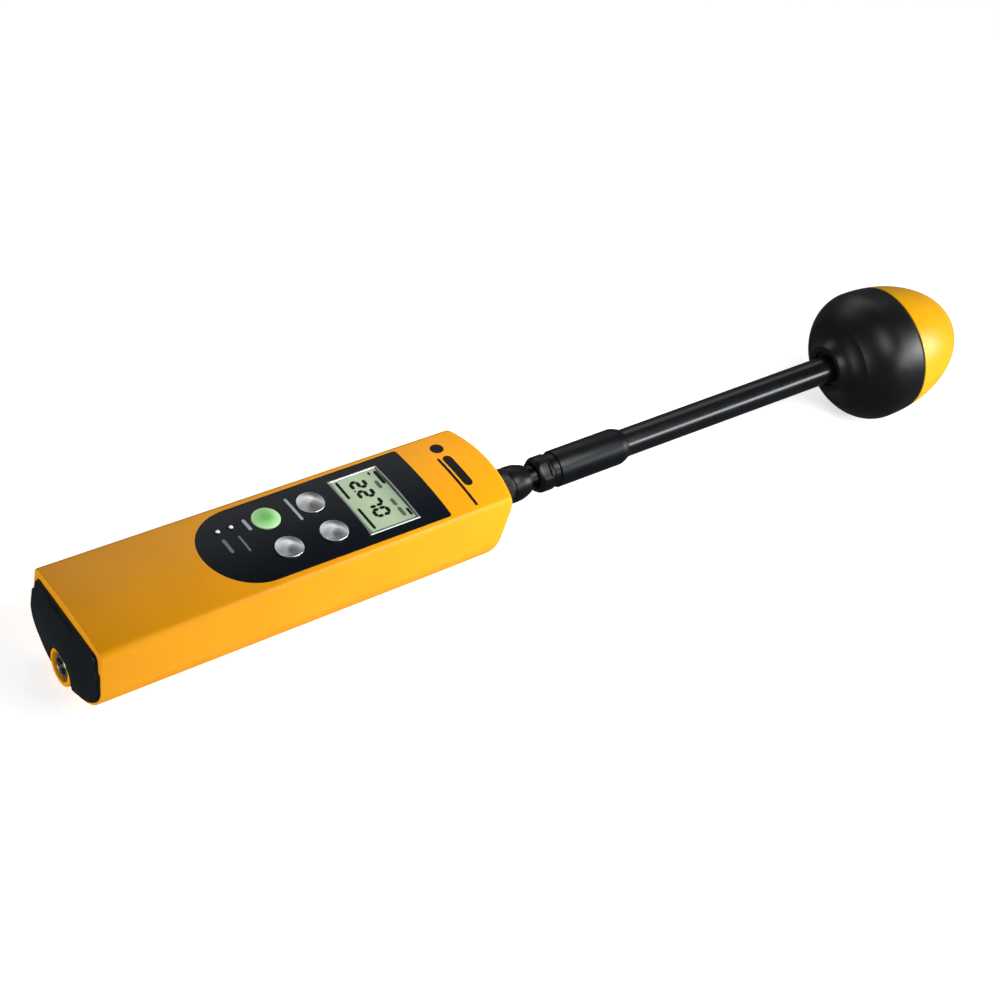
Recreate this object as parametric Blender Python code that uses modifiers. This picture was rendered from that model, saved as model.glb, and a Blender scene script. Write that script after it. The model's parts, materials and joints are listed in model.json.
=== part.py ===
"""Hand-held radiation field meter with a plug-in ball probe.

The instrument is modelled in its own frame, in millimetres. X runs from the rear edge of the
grip (0) to the tip of the probe, Y to the left of the keypad and Z up, with Z = 0 at the top
edge of the grip's sides. One empty then lays it down: the rear of the belly and the underside
of the ball touch the ground plane, and the origin is below the middle of the whole length.
"""

from math import asin, atan2, cos, hypot, pi, radians, sin, sqrt

import bmesh
import bpy
from mathutils import Matrix, Vector

MM = 0.001
GAP = 0.3  # clearance between neighbouring pieces

# Grip body
GRIP_LENGTH = 194.0  # along the side edges
HALF_REAR, HALF_FRONT = 28.0, 25.4  # half-width at the top edge
CROWN = 1.8  # rise of the top face at its middle
EDGE_RADIUS = 3.0  # top edge to side
FLARE = 1.2  # how far the sides lean out down to the belly
BELLY_AXIS, BELLY_DEPTH = -20.0, 19.8  # the belly is half an ellipse below this height
BELLY_LAND = -39.3  # height of the flat along the bottom
PARTING = -22.0  # joint between upper and lower housing
BACK_EDGE = 0.6
NOSE, NOSE_RADIUS = 199.6, 82.0  # bowed front face
NOSE_BREAK, NOSE_LEAN = -6.0, 0.27  # below this height the front face leans back
NOSE_ROUNDING, NOSE_SIDE_ROUNDING = 2.6, 1.1  # top and side edges of the front face
WALL, FRONT_WALL = 2.2, 5.0
CEILING = -3.0  # underside of the top wall

# Keypad panel
PANEL_HALF, PANEL_FRONT = 22.4, 166.2
PANEL_ARC = 82.7  # centre of the round rear end
PANEL_CORNER = 1.5
POCKET_FLOOR = -1.4
KEY_STATIONS, KEY_SIDE, KEY_RADIUS = (95.3, 116.6), 9.4, 6.1
KEY_TRAVEL = 0.8
LAMP_STATIONS, LAMP_SIDE, LAMP_RADIUS = (74.0, 80.2), 11.6, 1.0
SCREEN_BACK, SCREEN_FRONT, SCREEN_HALF = 129.3, 153.6, 17.8
BEZEL_WIDTH = 1.1

# Inside the grip
BOARD_TOP, BOARD_THICK = -13.0, 1.6
CELL_SIDE, CELL_HEIGHT, CELL_RADIUS, CELL_LENGTH = 7.4, -29.6, 7.15, 49.0
TRAY_BACK, TRAY_FRONT, TRAY_HALF = 12.0, 71.0, 15.9
DOOR_BACK, DOOR_FRONT, DOOR_HALF = 10.6, 73.5, 16.2
SCREW_PLACES = ((22.0, 20.8), (22.0, -20.8), (176.0, 18.6), (176.0, -18.6))
SCREW_SEAT = -28.5
BUSH_STATION, BUSH_RADIUS, BUSH_BORE = 112.0, 6.0, 3.2

# Rear end
SOCKET_HEIGHT, SOCKET_RADIUS = -30.2, 4.6
ARCH_RADIUS, ARCH_CENTRE = 9.0, -30.6
BOSS_END, BARREL_END = -2.6, -2.2  # ends of the socket's boss and barrel
CAP_EDGE, CAP_BULGE = 1.4, 3.6  # how far the end cap stands out at its edge and its middle

# Probe, on its own axis
PROBE_HEIGHT = -20.0
CONNECTOR_RADIUS, CONNECTOR_END = 8.0, 203.0
FLANGE_BACK, FLANGE_RADIUS = 194.4, 9.8
SLEEVE_END, SLEEVE_RADIUS = 221.5, 8.2
PLUG_RADIUS = 5.6
COLLAR_BACK, COLLAR_END, COLLAR_RADIUS = 225.3, 232.6, 8.1
FLAT_TURN = 50.0  # degrees above the horizontal that the wrench flats face
HANDLE_BACK, HANDLE_END, HANDLE_RADIUS = 233.0, 273.4, 8.3
TUBE_BACK, TUBE_END, TUBE_RADIUS, TUBE_BORE = 262.0, 402.0, 6.3, 5.0
BALL_CENTRE, BALL_RADIUS = 415.9, 30.5  # station of the widest circle
BALL_BACK, TIP = 393.0, 464.8  # where the two half ellipses would meet the axis
SEAM = 426.5
HUB_BACK, HUB_RADIUS = 391.6, 11.0  # rear end of the flare that meets the tube
HUB_RIM, HUB_WELL = 21.0, 22.0  # where the flare leaves the ball, outside and inside
HUB_MOUTH, HUB_FLOOR = 8.0, 393.4  # radius and floor of the recess round the tube
DOME_WALL = 2.0
CARRIER_BACK, CARRIER_END, CARRIER_FACE = 403.0, 440.0, 5.0
DIPOLE_LENGTH, DIPOLE_WIDTH = 32.0, 5.0

BALL_SEGMENTS, ROUND_SEGMENTS, SMALL_SEGMENTS = 40, 28, 16

# base colour, roughness, metallic
COLOURS = {
    "housing_orange": ((0.89, 0.36, 0.012), 0.35, 0.0),
    "dome_yellow": ((0.95, 0.53, 0.02), 0.3, 0.0),
    "black_plastic": ((0.012, 0.013, 0.016), 0.4, 0.0),
    "panel_film": ((0.02, 0.023, 0.03), 0.45, 0.0),
    "key_green": ((0.25, 0.62, 0.2), 0.4, 0.0),
    "key_grey": ((0.38, 0.39, 0.4), 0.35, 0.4),
    "lamp": ((0.75, 0.78, 0.75), 0.2, 0.0),
    "silver_trim": ((0.6, 0.61, 0.6), 0.35, 0.6),
    "window": ((0.85, 0.9, 0.88), 0.05, 0.0),
    "display": ((0.58, 0.64, 0.5), 0.3, 0.0),
    "white_plastic": ((0.75, 0.75, 0.72), 0.5, 0.0),
    "silicone": ((0.25, 0.26, 0.27), 0.7, 0.0),
    "board_green": ((0.02, 0.14, 0.06), 0.4, 0.0),
    "chip": ((0.02, 0.02, 0.022), 0.5, 0.0),
    "steel": ((0.55, 0.55, 0.56), 0.3, 1.0),
    "brass": ((0.72, 0.52, 0.2), 0.3, 1.0),
    "nickel": ((0.6, 0.59, 0.56), 0.25, 1.0),
    "cell_jacket": ((0.1, 0.16, 0.3), 0.4, 0.2),
    "rubber": ((0.02, 0.02, 0.02), 0.8, 0.0),
}


# ---- Helpers ----


def new_collection(name):
    group = bpy.data.collections.new(name)
    bpy.context.scene.collection.children.link(group)
    return group


def material(name):
    found = bpy.data.materials.get(name)
    if found:
        return found
    colour, roughness, metallic = COLOURS[name]
    made = bpy.data.materials.new(name)
    made.use_nodes = True
    shader = made.node_tree.nodes["Principled BSDF"]
    shader.inputs["Base Color"].default_value = (*colour, 1.0)
    shader.inputs["Roughness"].default_value = roughness
    shader.inputs["Metallic"].default_value = metallic
    return made


def place(obj, colour, parent, at=(0.0, 0.0, 0.0)):
    """Put an object under its parent; one without a colour is a cutter."""
    if colour:
        PARTS.objects.link(obj)
        obj.data.materials.append(material(colour))
    else:
        CUTTERS.objects.link(obj)
        obj.hide_render = True
        obj.display_type = "WIRE"
    obj.parent = parent or INSTRUMENT
    obj.location = Vector(at) * MM
    return obj


def shape(name, fill, colour=None, parent=None, at=(0.0, 0.0, 0.0)):
    """One mesh object from a function that fills a bmesh in millimetres."""
    bm = bmesh.new()
    fill(bm)
    bmesh.ops.recalc_face_normals(bm, faces=bm.faces)
    bmesh.ops.scale(bm, vec=(MM, MM, MM), verts=bm.verts)
    mesh = bpy.data.meshes.new(name)
    bm.to_mesh(mesh)
    bm.free()
    return place(bpy.data.objects.new(name, mesh), colour, parent, at)


def box(name, low, high, colour=None, parent=None, rounding=0.0, spin=0.0):
    """A box between two corners, turned about the X axis of its parent by spin degrees."""
    low, high = Vector(low), Vector(high)

    def fill(bm):
        bmesh.ops.create_cube(bm, size=1.0)
        bmesh.ops.scale(bm, vec=high - low, verts=bm.verts)
        bmesh.ops.translate(bm, vec=(low + high) / 2, verts=bm.verts)
        if rounding:
            bmesh.ops.bevel(
                bm, geom=bm.edges[:], offset=rounding, segments=1, affect="EDGES", profile=0.5
            )
        bmesh.ops.rotate(bm, matrix=Matrix.Rotation(radians(spin), 3, "X"), verts=bm.verts)

    return shape(name, fill, colour, parent)


def cylinders(name, places, radius, low, high, colour=None, segments=ROUND_SEGMENTS):
    """Upright cylinders at each (x, y), between two heights."""

    def fill(bm):
        for x, y in places:
            bmesh.ops.create_cone(
                bm,
                cap_ends=True,
                segments=segments,
                radius1=radius,
                radius2=radius,
                depth=high - low,
                matrix=Matrix.Translation((x, y, (low + high) / 2)),
            )

    return shape(name, fill, colour)


def plate(name, outline, low, high, colour=None):
    """A flat outline of (x, y) points between two heights, as a mesh made from a 2D curve."""
    curve = bpy.data.curves.new(name, "CURVE")
    curve.dimensions = "2D"
    curve.fill_mode = "BOTH"
    curve.extrude = (high - low) / 2 * MM
    spline = curve.splines.new("POLY")
    spline.points.add(len(outline) - 1)
    for point, (x, y) in zip(spline.points, outline):
        point.co = (x * MM, y * MM, 0.0, 1.0)
    spline.use_cyclic_u = True
    flat = bpy.data.objects.new(name + "_outline", curve)
    CUTTERS.objects.link(flat)
    mesh = bpy.data.meshes.new_from_object(flat.evaluated_get(bpy.context.evaluated_depsgraph_get()))
    bm = bmesh.new()
    bm.from_mesh(mesh)
    bmesh.ops.remove_doubles(bm, verts=bm.verts, dist=1e-6)
    bmesh.ops.recalc_face_normals(bm, faces=bm.faces)
    bm.to_mesh(mesh)
    bm.free()
    bpy.data.objects.remove(flat)
    return place(bpy.data.objects.new(name, mesh), colour, None, (0.0, 0.0, (low + high) / 2))


def turned(name, profile, colour=None, parent=None, at=(0.0, 0.0, 0.0), upright=False,
           ring=False, segments=ROUND_SEGMENTS):
    """Turn (station, radius) points, front or top first down the outer side, about the axis.

    A ring's profile closes on itself; any other starts and ends on the axis.
    """
    count = len(profile)
    edges = [(i, i + 1) for i in range(count - 1)]
    if ring:
        edges.append((count - 1, 0))
    mesh = bpy.data.meshes.new(name)
    mesh.from_pydata([(radius * MM, 0.0, station * MM) for station, radius in profile], edges, [])
    obj = place(bpy.data.objects.new(name, mesh), colour, parent or (None if upright else PROBE_AXIS), at)
    if not upright:
        obj.rotation_euler = (0.0, pi / 2, 0.0)
    screw = obj.modifiers.new("turn", "SCREW")
    screw.axis = "Z"
    screw.steps = screw.render_steps = segments
    screw.use_merge_vertices = True
    screw.merge_threshold = 0.00001
    screw.use_smooth_shade = True
    return obj


def combine(target, other, operation="DIFFERENCE"):
    step = target.modifiers.new(other.name, "BOOLEAN")
    step.object = other
    step.operation = operation


def arc(centre, radius, start, end, steps):
    """Points (x, y) on an arc, from start to end degrees."""
    turns = [radians(start + (end - start) * i / steps) for i in range(steps + 1)]
    return [(centre[0] + radius * cos(a), centre[1] + radius * sin(a)) for a in turns]


# ---- The grip's outer form ----


def nose_station(y, z):
    """Where the bowed front face lies; it leans back below its break."""
    return NOSE - y * y / (2 * NOSE_RADIUS) - NOSE_LEAN * max(0.0, NOSE_BREAK - z)


def section(x, inset, roof, crown):
    """The D-shaped cross-section at station x, as (y, z) points once round from the top."""
    half = HALF_REAR + (HALF_FRONT - HALF_REAR) * x / GRIP_LENGTH - inset
    shoulder = half - EDGE_RADIUS

    def top(y):
        return roof + crown * (1 - (y / half) ** 2)

    side = [(shoulder * i / 4, top(shoulder * i / 4)) for i in range(4)]
    side += arc((shoulder, top(shoulder) - EDGE_RADIUS), EDGE_RADIUS, 90, 0, 3)
    depth = BELLY_DEPTH - inset
    last = asin((BELLY_AXIS - BELLY_LAND - inset) / depth)
    for i in range(7):
        turn = last * i / 6
        side.append(((half + FLARE) * cos(turn), BELLY_AXIS - depth * sin(turn)))
    return side + [(-y, z) for y, z in reversed(side[1:])]


def grip_form(name, colour=None, inset=0.0, roof=0.0, crown=CROWN, back=0.0, front_wall=0.0,
              edge=BACK_EDGE, parent=None, at=(0.0, 0.0, 0.0)):
    """The grip as one solid, or its hollow when it is inset; a loft from rear to front."""
    rings = [(0.0, edge, edge, 0.0)] if edge else []
    rings += [(0.0, 0.0, 0.0, edge), (0.35, 0.0, 0.0, 0.0), (0.7, 0.0, 0.0, 0.0)]
    for i in range(4):
        turn = radians(30 * i)
        rings.append((1.0, NOSE_SIDE_ROUNDING * (1 - cos(turn)), NOSE_ROUNDING * (1 - cos(turn)),
                      -NOSE_ROUNDING * (1 - sin(turn))))

    def fill(bm):
        loops = []
        for share, shrink, drop, along in rings:
            points = section(share * GRIP_LENGTH, inset + shrink, roof - drop, crown)
            loops.append([
                bm.verts.new((back + share * (nose_station(y, z) - front_wall - back) + along, y, z))
                for y, z in points
            ])
        for share in (0.6, 0.25):
            loop = []
            for y, z in points:
                y, z = y * share, BELLY_AXIS + (z - BELLY_AXIS) * share
                loop.append(bm.verts.new((nose_station(y, z) - front_wall, y, z)))
            loops.append(loop)
        tip = bm.verts.new((nose_station(0, BELLY_AXIS) - front_wall, 0, BELLY_AXIS))
        bm.faces.new(loops[0])
        for this, following in zip(loops, loops[1:]):
            for i in range(len(this)):
                bm.faces.new((this[i - 1], this[i], following[i], following[i - 1]))
        for i in range(len(loops[-1])):
            bm.faces.new((loops[-1][i - 1], loops[-1][i], tip))

    return shape(name, fill, colour, parent, at)


def panel_outline(grow):
    """The keypad panel: a straight front edge with small corners and a round rear end."""
    half, front = PANEL_HALF + grow, PANEL_FRONT + grow
    corner = (front - PANEL_CORNER, half - PANEL_CORNER)
    points = arc(corner, PANEL_CORNER, 0, 90, 3)
    points += arc((PANEL_ARC, 0.0), half, 90, 270, 20)
    return points + arc((corner[0], -corner[1]), PANEL_CORNER, -90, 0, 3)


# ---- Housing ----


def make_shared_cutters():
    shared = {
        "hollow": grip_form("hollow", inset=WALL, roof=CEILING, crown=0.0, back=-1.0,
                            front_wall=FRONT_WALL, edge=0.0),
        "below": box("below_parting", (-10, -40, -60), (210, 40, PARTING)),
        "above": box("above_parting", (-10, -40, PARTING - GAP), (210, 40, 10)),
        "connector_bore": turned("connector_bore", [(NOSE + 5, 0.0), (NOSE + 5, FLANGE_RADIUS + GAP),
                                                    (FLANGE_BACK - GAP, FLANGE_RADIUS + GAP),
                                                    (FLANGE_BACK - GAP, CONNECTOR_RADIUS + GAP),
                                                    (170.0, CONNECTOR_RADIUS + GAP), (170.0, 0.0)]),
        "screw_bores": cylinders("screw_bores", SCREW_PLACES, 1.5, SCREW_SEAT - 1, CEILING - 5,
                                 segments=SMALL_SEGMENTS),
    }
    return shared


def key_places():
    return [(x, y) for x in KEY_STATIONS for y in (KEY_SIDE, -KEY_SIDE)]


def lamp_places():
    return [(x, LAMP_SIDE) for x in LAMP_STATIONS]


def make_upper_housing(shared):
    upper = grip_form("upper_housing", "housing_orange")
    combine(upper, shared["hollow"])
    posts = cylinders("upper_posts", SCREW_PLACES, 3.2, PARTING + GAP, CEILING + 1,
                      segments=SMALL_SEGMENTS)
    combine(upper, posts, "UNION")
    combine(upper, shared["below"])
    combine(upper, plate("panel_pocket", panel_outline(GAP), POCKET_FLOOR, 5.0))
    combine(upper, cylinders("key_bores", key_places(), KEY_RADIUS + GAP, -8, 5, segments=20))
    combine(upper, cylinders("lamp_bores", lamp_places(), LAMP_RADIUS + GAP, -8, 5, segments=12))
    inner = SCREEN_HALF - 0.6
    combine(upper, box("screen_bore", (SCREEN_BACK + 0.6, -inner, -8), (SCREEN_FRONT - 0.6, inner, 5)))
    combine(upper, shared["connector_bore"])
    combine(upper, shared["screw_bores"])


def make_lower_housing(shared):
    lower = grip_form("lower_housing", "housing_orange")
    combine(lower, shared["hollow"])
    bosses = cylinders("lower_bosses", SCREW_PLACES, 4.0, SCREW_SEAT - 4.0, PARTING + 5,
                       segments=SMALL_SEGMENTS)
    keep = grip_form("boss_limit", inset=WALL / 2, roof=0.0)
    combine(bosses, keep, "INTERSECT")
    combine(lower, bosses, "UNION")
    boss = cylinders("bush_boss", [(BUSH_STATION, 0.0)], BUSH_RADIUS + 2.5, BELLY_LAND + 1, -27.5)
    combine(lower, boss, "UNION")
    combine(lower, make_arch("socket_boss", ARCH_RADIUS - 2 * GAP, BOSS_END, 9.0), "UNION")
    combine(lower, shared["above"])
    combine(lower, box("door_opening", (DOOR_BACK - GAP, -DOOR_HALF - GAP, -60),
                       (DOOR_FRONT + GAP, DOOR_HALF + GAP, -30)))
    combine(lower, shared["connector_bore"])
    combine(lower, shared["screw_bores"])
    combine(lower, cylinders("screw_seats", SCREW_PLACES, 2.9, -60, SCREW_SEAT,
                             segments=SMALL_SEGMENTS))
    combine(lower, cylinders("bush_bore", [(BUSH_STATION, 0.0)], BUSH_RADIUS + GAP, -60, -28.7))
    combine(lower, turned("socket_bore", [(12.0, 0.0), (12.0, SOCKET_RADIUS + GAP),
                                          (-5.0, SOCKET_RADIUS + GAP), (-5.0, 0.0)],
                          parent=INSTRUMENT, at=(0.0, 0.0, SOCKET_HEIGHT)))


def make_arch(name, radius, back, front):
    """A solid with a half-round top, open downwards, standing at the middle of the rear end."""
    foot = BELLY_LAND + 1.3
    outline = arc((0.0, ARCH_CENTRE), radius, 0, 180, 12) + [(-radius, foot), (radius, foot)]

    def fill(bm):
        loops = [[bm.verts.new((x, y, z)) for y, z in outline] for x in (back, front)]
        bm.faces.new(loops[0])
        bm.faces.new(loops[1])
        for i in range(len(outline)):
            bm.faces.new((loops[0][i - 1], loops[0][i], loops[1][i], loops[1][i - 1]))

    return shape(name, fill)


def make_end_cap():
    """The black cap that closes the rear end, gently domed, with an arch cut for the socket."""
    clear = WALL + GAP
    half = HALF_REAR - clear

    def fill(bm):
        loops = []
        for x, share in ((8.0, 1.0), (0.8 - CAP_EDGE, 1.0), (-CAP_EDGE, 0.97), (None, 0.7), (None, 0.35)):
            points = section(0.0, clear, CEILING - GAP, 0.0)
            loop = []
            for y, z in points:
                y, z = y * share, BELLY_AXIS + (z - BELLY_AXIS) * share
                reach = min(1.0, hypot(y / half, (z - BELLY_AXIS) / BELLY_DEPTH))
                bulge = CAP_EDGE + (CAP_BULGE - CAP_EDGE) * (1 - reach * reach)
                loop.append(bm.verts.new((-bulge if x is None else x, y, z)))
            loops.append(loop)
        tip = bm.verts.new((-CAP_BULGE, 0.0, BELLY_AXIS))
        bm.faces.new(loops[0])
        for this, following in zip(loops, loops[1:]):
            for i in range(len(this)):
                bm.faces.new((this[i - 1], this[i], following[i], following[i - 1]))
        for i in range(len(loops[-1])):
            bm.faces.new((loops[-1][i - 1], loops[-1][i], tip))

    cap = shape("end_cap", fill, "black_plastic")
    arch = make_arch("arch_cut", ARCH_RADIUS, -10.0, 20.0)
    arch_foot = box("arch_foot", (-10, -ARCH_RADIUS, -60), (20, ARCH_RADIUS, BELLY_LAND + 2))
    combine(cap, arch)
    combine(cap, arch_foot)


def make_battery_door():
    """A curved piece of the belly, hinged on its front edge at the outer surface."""
    hinge = empty("door_hinge", (DOOR_FRONT, 0.0, BELLY_LAND), INSTRUMENT)
    at = (-DOOR_FRONT, 0.0, -BELLY_LAND)
    door = grip_form("battery_door", "housing_orange", parent=hinge, at=at)
    combine(door, grip_form("door_hollow", inset=WALL - GAP, roof=CEILING, crown=0.0, back=-1.0,
                            front_wall=FRONT_WALL, edge=0.0))
    combine(door, box("door_block", (DOOR_BACK, -DOOR_HALF, -60), (DOOR_FRONT, DOOR_HALF, -30)),
            "INTERSECT")


def make_housing():
    shared = make_shared_cutters()
    make_upper_housing(shared)
    make_lower_housing(shared)
    make_end_cap()
    make_battery_door()
    for i, (x, y) in enumerate(SCREW_PLACES):
        profile = [(-9.0, 0.0), (-9.0, 1.1), (SCREW_SEAT - GAP, 1.1), (SCREW_SEAT - GAP, 2.5),
                   (SCREW_SEAT - 2.2, 2.5), (SCREW_SEAT - 2.2, 1.2), (SCREW_SEAT - 1.2, 0.8),
                   (SCREW_SEAT - 1.2, 0.0)]
        turned(f"housing_screw_{i + 1}", profile, "steel", at=(x, y, 0.0), upright=True, segments=12)
    bottom = BELLY_LAND + 0.1
    turned("tripod_bush", [(-29.0, 0.0), (-29.0, BUSH_RADIUS - 0.8), (-30.0, BUSH_RADIUS),
                           (bottom, BUSH_RADIUS), (bottom, BUSH_BORE), (-30.5, BUSH_BORE),
                           (-30.5, 0.0)],
           "brass", at=(BUSH_STATION, 0.0, 0.0), upright=True, segments=24)


# ---- Keypad, lamps and display ----


def make_keypad():
    overlay = plate("keypad_overlay", panel_outline(0.0), POCKET_FLOOR + GAP, 5.0, "panel_film")
    trim = grip_form("overlay_limit", roof=-0.1)
    combine(overlay, trim, "INTERSECT")
    combine(overlay, bpy.data.objects["key_bores"])
    combine(overlay, bpy.data.objects["lamp_bores"])
    combine(overlay, box("bezel_opening", (SCREEN_BACK - GAP, -SCREEN_HALF - GAP, -8),
                         (SCREEN_FRONT + GAP, SCREEN_HALF + GAP, 5)))
    rim = CROWN * (1 - (KEY_SIDE / HALF_REAR) ** 2)
    flange = CEILING - GAP
    names = ("power_key", "key_rear_right", "key_front_left", "key_front_right")
    for name, (x, y) in zip(names, key_places()):
        profile = [(rim + 1.7, 0.0), (rim + 1.5, 2.6), (rim + 1.0, 5.0), (rim + 0.4, KEY_RADIUS),
                   (flange, KEY_RADIUS), (flange, KEY_RADIUS + 1.1), (flange - 0.9, KEY_RADIUS + 1.1),
                   (flange - 0.9, 2.0), (flange - 2.2, 2.0), (flange - 2.2, 0.0)]
        colour = "key_green" if name == "power_key" else "key_grey"
        turned(name, profile, colour, at=(x, y, 0.0), upright=True, segments=20)
    sheet_top = flange - 2.2 - KEY_TRAVEL - 2 * GAP
    sheet = box("dome_switch_sheet", (66, -18, sheet_top - 0.9), (126, 18, sheet_top - 0.4), "silicone")
    domes = cylinders("switch_domes", key_places(), 3.2, sheet_top - 0.7, sheet_top, segments=12)
    combine(sheet, domes, "UNION")
    box("key_board", (66, -18, sheet_top - 2.4), (126, 18, sheet_top - 1.2), "board_green")
    lamp_top = CROWN * (1 - (LAMP_SIDE / HALF_REAR) ** 2) + 0.4
    for name, (x, y) in zip(("charge_lamp", "status_lamp"), lamp_places()):
        turned(name, [(lamp_top, 0.0), (lamp_top - 0.4, 0.7), (lamp_top - 1.0, LAMP_RADIUS),
                      (flange, LAMP_RADIUS), (flange, 1.7), (sheet_top, 1.7),
                      (sheet_top, 0.0)],
               "lamp", at=(x, y, 0.0), upright=True, segments=12)


def frame_of(name, low, high, width, colour):
    """A rectangular ring between two corners."""
    ring = box(name, low, high, colour)
    inner_low = (low[0] + width, low[1] + width, low[2] - 5)
    inner_high = (high[0] - width, high[1] - width, high[2] + 5)
    combine(ring, box(name + "_opening", inner_low, inner_high))


def make_display():
    frame_of("display_bezel", (SCREEN_BACK, -SCREEN_HALF, POCKET_FLOOR + GAP),
             (SCREEN_FRONT, SCREEN_HALF, 1.15), BEZEL_WIDTH, "silver_trim")
    edge = BEZEL_WIDTH + GAP
    back, front, half = SCREEN_BACK + edge, SCREEN_FRONT - edge, SCREEN_HALF - edge
    box("display_window", (back, -half, -0.2), (front, half, 1.0), "window")
    box("display_glass", (back - 0.3, -half - 0.3, -3.4), (front + 0.3, half + 0.3, -0.6), "display")
    box("display_backlight", (127.2, -19.0, -6.4), (154.8, 19.0, -3.7), "white_plastic")


# ---- Electronics and battery ----


def make_electronics():
    bottom = BOARD_TOP - BOARD_THICK
    box("main_board", (16, -16.5, bottom), (170, 16.5, BOARD_TOP), "board_green")
    box("processor", (92, -7, BOARD_TOP + GAP), (106, 7, BOARD_TOP + 1.7), "chip")
    box("converter", (116, -4, BOARD_TOP + GAP), (124, 4, BOARD_TOP + 1.5), "chip")
    box("shield_can", (128, -12, bottom - 5.5), (166, 12, bottom - GAP), "steel", rounding=0.5)
    sounder_top = BOARD_TOP + 4.3
    turned("buzzer", [(sounder_top - 1.5, 0.0), (sounder_top - 1.5, 1.2), (sounder_top, 1.2),
                      (sounder_top, 5.6), (sounder_top - 0.4, 6.0), (BOARD_TOP + GAP, 6.0),
                      (BOARD_TOP + GAP, 0.0)],
           "chip", at=(46.0, 0.0, 0.0), upright=True, segments=20)


def helix(name, start, end, y, radii, turns, wire):
    """A conical wire spring along X between two stations."""
    curve = bpy.data.curves.new(name, "CURVE")
    curve.dimensions = "3D"
    curve.bevel_depth = wire * MM
    curve.bevel_resolution = 1
    curve.use_fill_caps = True
    spline = curve.splines.new("POLY")
    count = 10 * turns
    spline.points.add(count)
    for i, point in enumerate(spline.points):
        share = i / count
        radius = radii[0] + (radii[1] - radii[0]) * share
        turn = 2 * pi * turns * share
        point.co = ((start + (end - start) * share) * MM, (y + radius * cos(turn)) * MM,
                    (CELL_HEIGHT + radius * sin(turn)) * MM, 1.0)
    place(bpy.data.objects.new(name, curve), "steel", None)


def make_battery():
    tray = box("battery_tray", (TRAY_BACK, -TRAY_HALF, -34.0), (TRAY_FRONT, TRAY_HALF, -21.0),
               "black_plastic")
    combine(tray, box("tray_hollow", (TRAY_BACK + 1, -TRAY_HALF + 0.9, -60),
                      (TRAY_FRONT - 1, TRAY_HALF - 0.9, -22.0)))
    nub = CELL_LENGTH + 1.2
    profile = [(nub, 0.0), (nub, 2.6), (CELL_LENGTH, 2.6), (CELL_LENGTH, CELL_RADIUS - 0.6),
               (CELL_LENGTH - 0.6, CELL_RADIUS), (0.6, CELL_RADIUS), (0.0, CELL_RADIUS - 0.6), (0.0, 0.0)]
    back, front = TRAY_BACK + 1 + GAP, TRAY_FRONT - 1 - GAP
    first = turned("cell_1", profile, "cell_jacket", parent=INSTRUMENT,
                   at=(front - 1.0 - nub, CELL_SIDE, CELL_HEIGHT), segments=20)
    second = turned("cell_2", profile, "cell_jacket", parent=INSTRUMENT,
                    at=(back + 1.0 + nub, -CELL_SIDE, CELL_HEIGHT), segments=20)
    first.rotation_euler = (0.0, pi / 2, 0.0)
    second.rotation_euler = (0.0, -pi / 2, 0.0)
    low, high = CELL_HEIGHT - 4.5, CELL_HEIGHT + 4.5
    box("contact_negative", (back, CELL_SIDE - 5, low), (back + 0.5, CELL_SIDE + 5, high), "nickel")
    box("contact_positive", (back, -CELL_SIDE - 5, low), (back + 0.5, -CELL_SIDE + 5, high), "nickel")
    box("contact_bridge", (front - 0.5, -CELL_SIDE - 5, low), (front, CELL_SIDE + 5, high), "nickel")
    helix("contact_spring_1", back + 1.2, front - 1.0 - nub - 0.7, CELL_SIDE, (4.0, 2.4), 2, 0.35)
    helix("contact_spring_2", front - 1.2, back + 1.0 + nub + 0.7, -CELL_SIDE, (4.0, 2.4), 2, 0.35)


# ---- Charging socket ----


def make_charging_socket():
    at = (0.0, 0.0, SOCKET_HEIGHT)
    outer, bore = SOCKET_RADIUS, SOCKET_RADIUS - 0.9
    turned("charging_socket",
           [(9.5, bore), (9.5, outer), (BARREL_END + 0.4, outer), (BARREL_END, outer - 0.4),
            (BARREL_END, bore)],
           "nickel", parent=INSTRUMENT, at=at, ring=True, segments=24)
    turned("charging_insert", [(9.3, 0.0), (9.3, bore - GAP), (4.6, bore - GAP), (4.6, 0.0)],
           "black_plastic", parent=INSTRUMENT, at=at, segments=20)


# ---- Probe ----


def ball_radius(x):
    """Outer radius of the ball at station x: half an ellipse behind its middle, a longer one ahead."""
    reach = (x - BALL_CENTRE) / (BALL_CENTRE - BALL_BACK if x < BALL_CENTRE else TIP - BALL_CENTRE)
    return BALL_RADIUS * sqrt(max(0.0, 1 - reach * reach))


def ball_curve(start, end, steps, inset=0.0):
    """Profile points along the ball between two stations, evenly spread by angle."""
    def span_of(side):
        return (BALL_CENTRE - BALL_BACK if side < 0 else TIP - BALL_CENTRE) - inset

    def angle(x):
        return asin(max(-1.0, min(1.0, (x - BALL_CENTRE) / span_of(x - BALL_CENTRE))))

    points = []
    for i in range(steps + 1):
        turn = angle(start) + (angle(end) - angle(start)) * i / steps
        span = span_of(turn)
        points.append((BALL_CENTRE + span * sin(turn), (BALL_RADIUS - inset) * cos(turn)))
    return points


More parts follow.
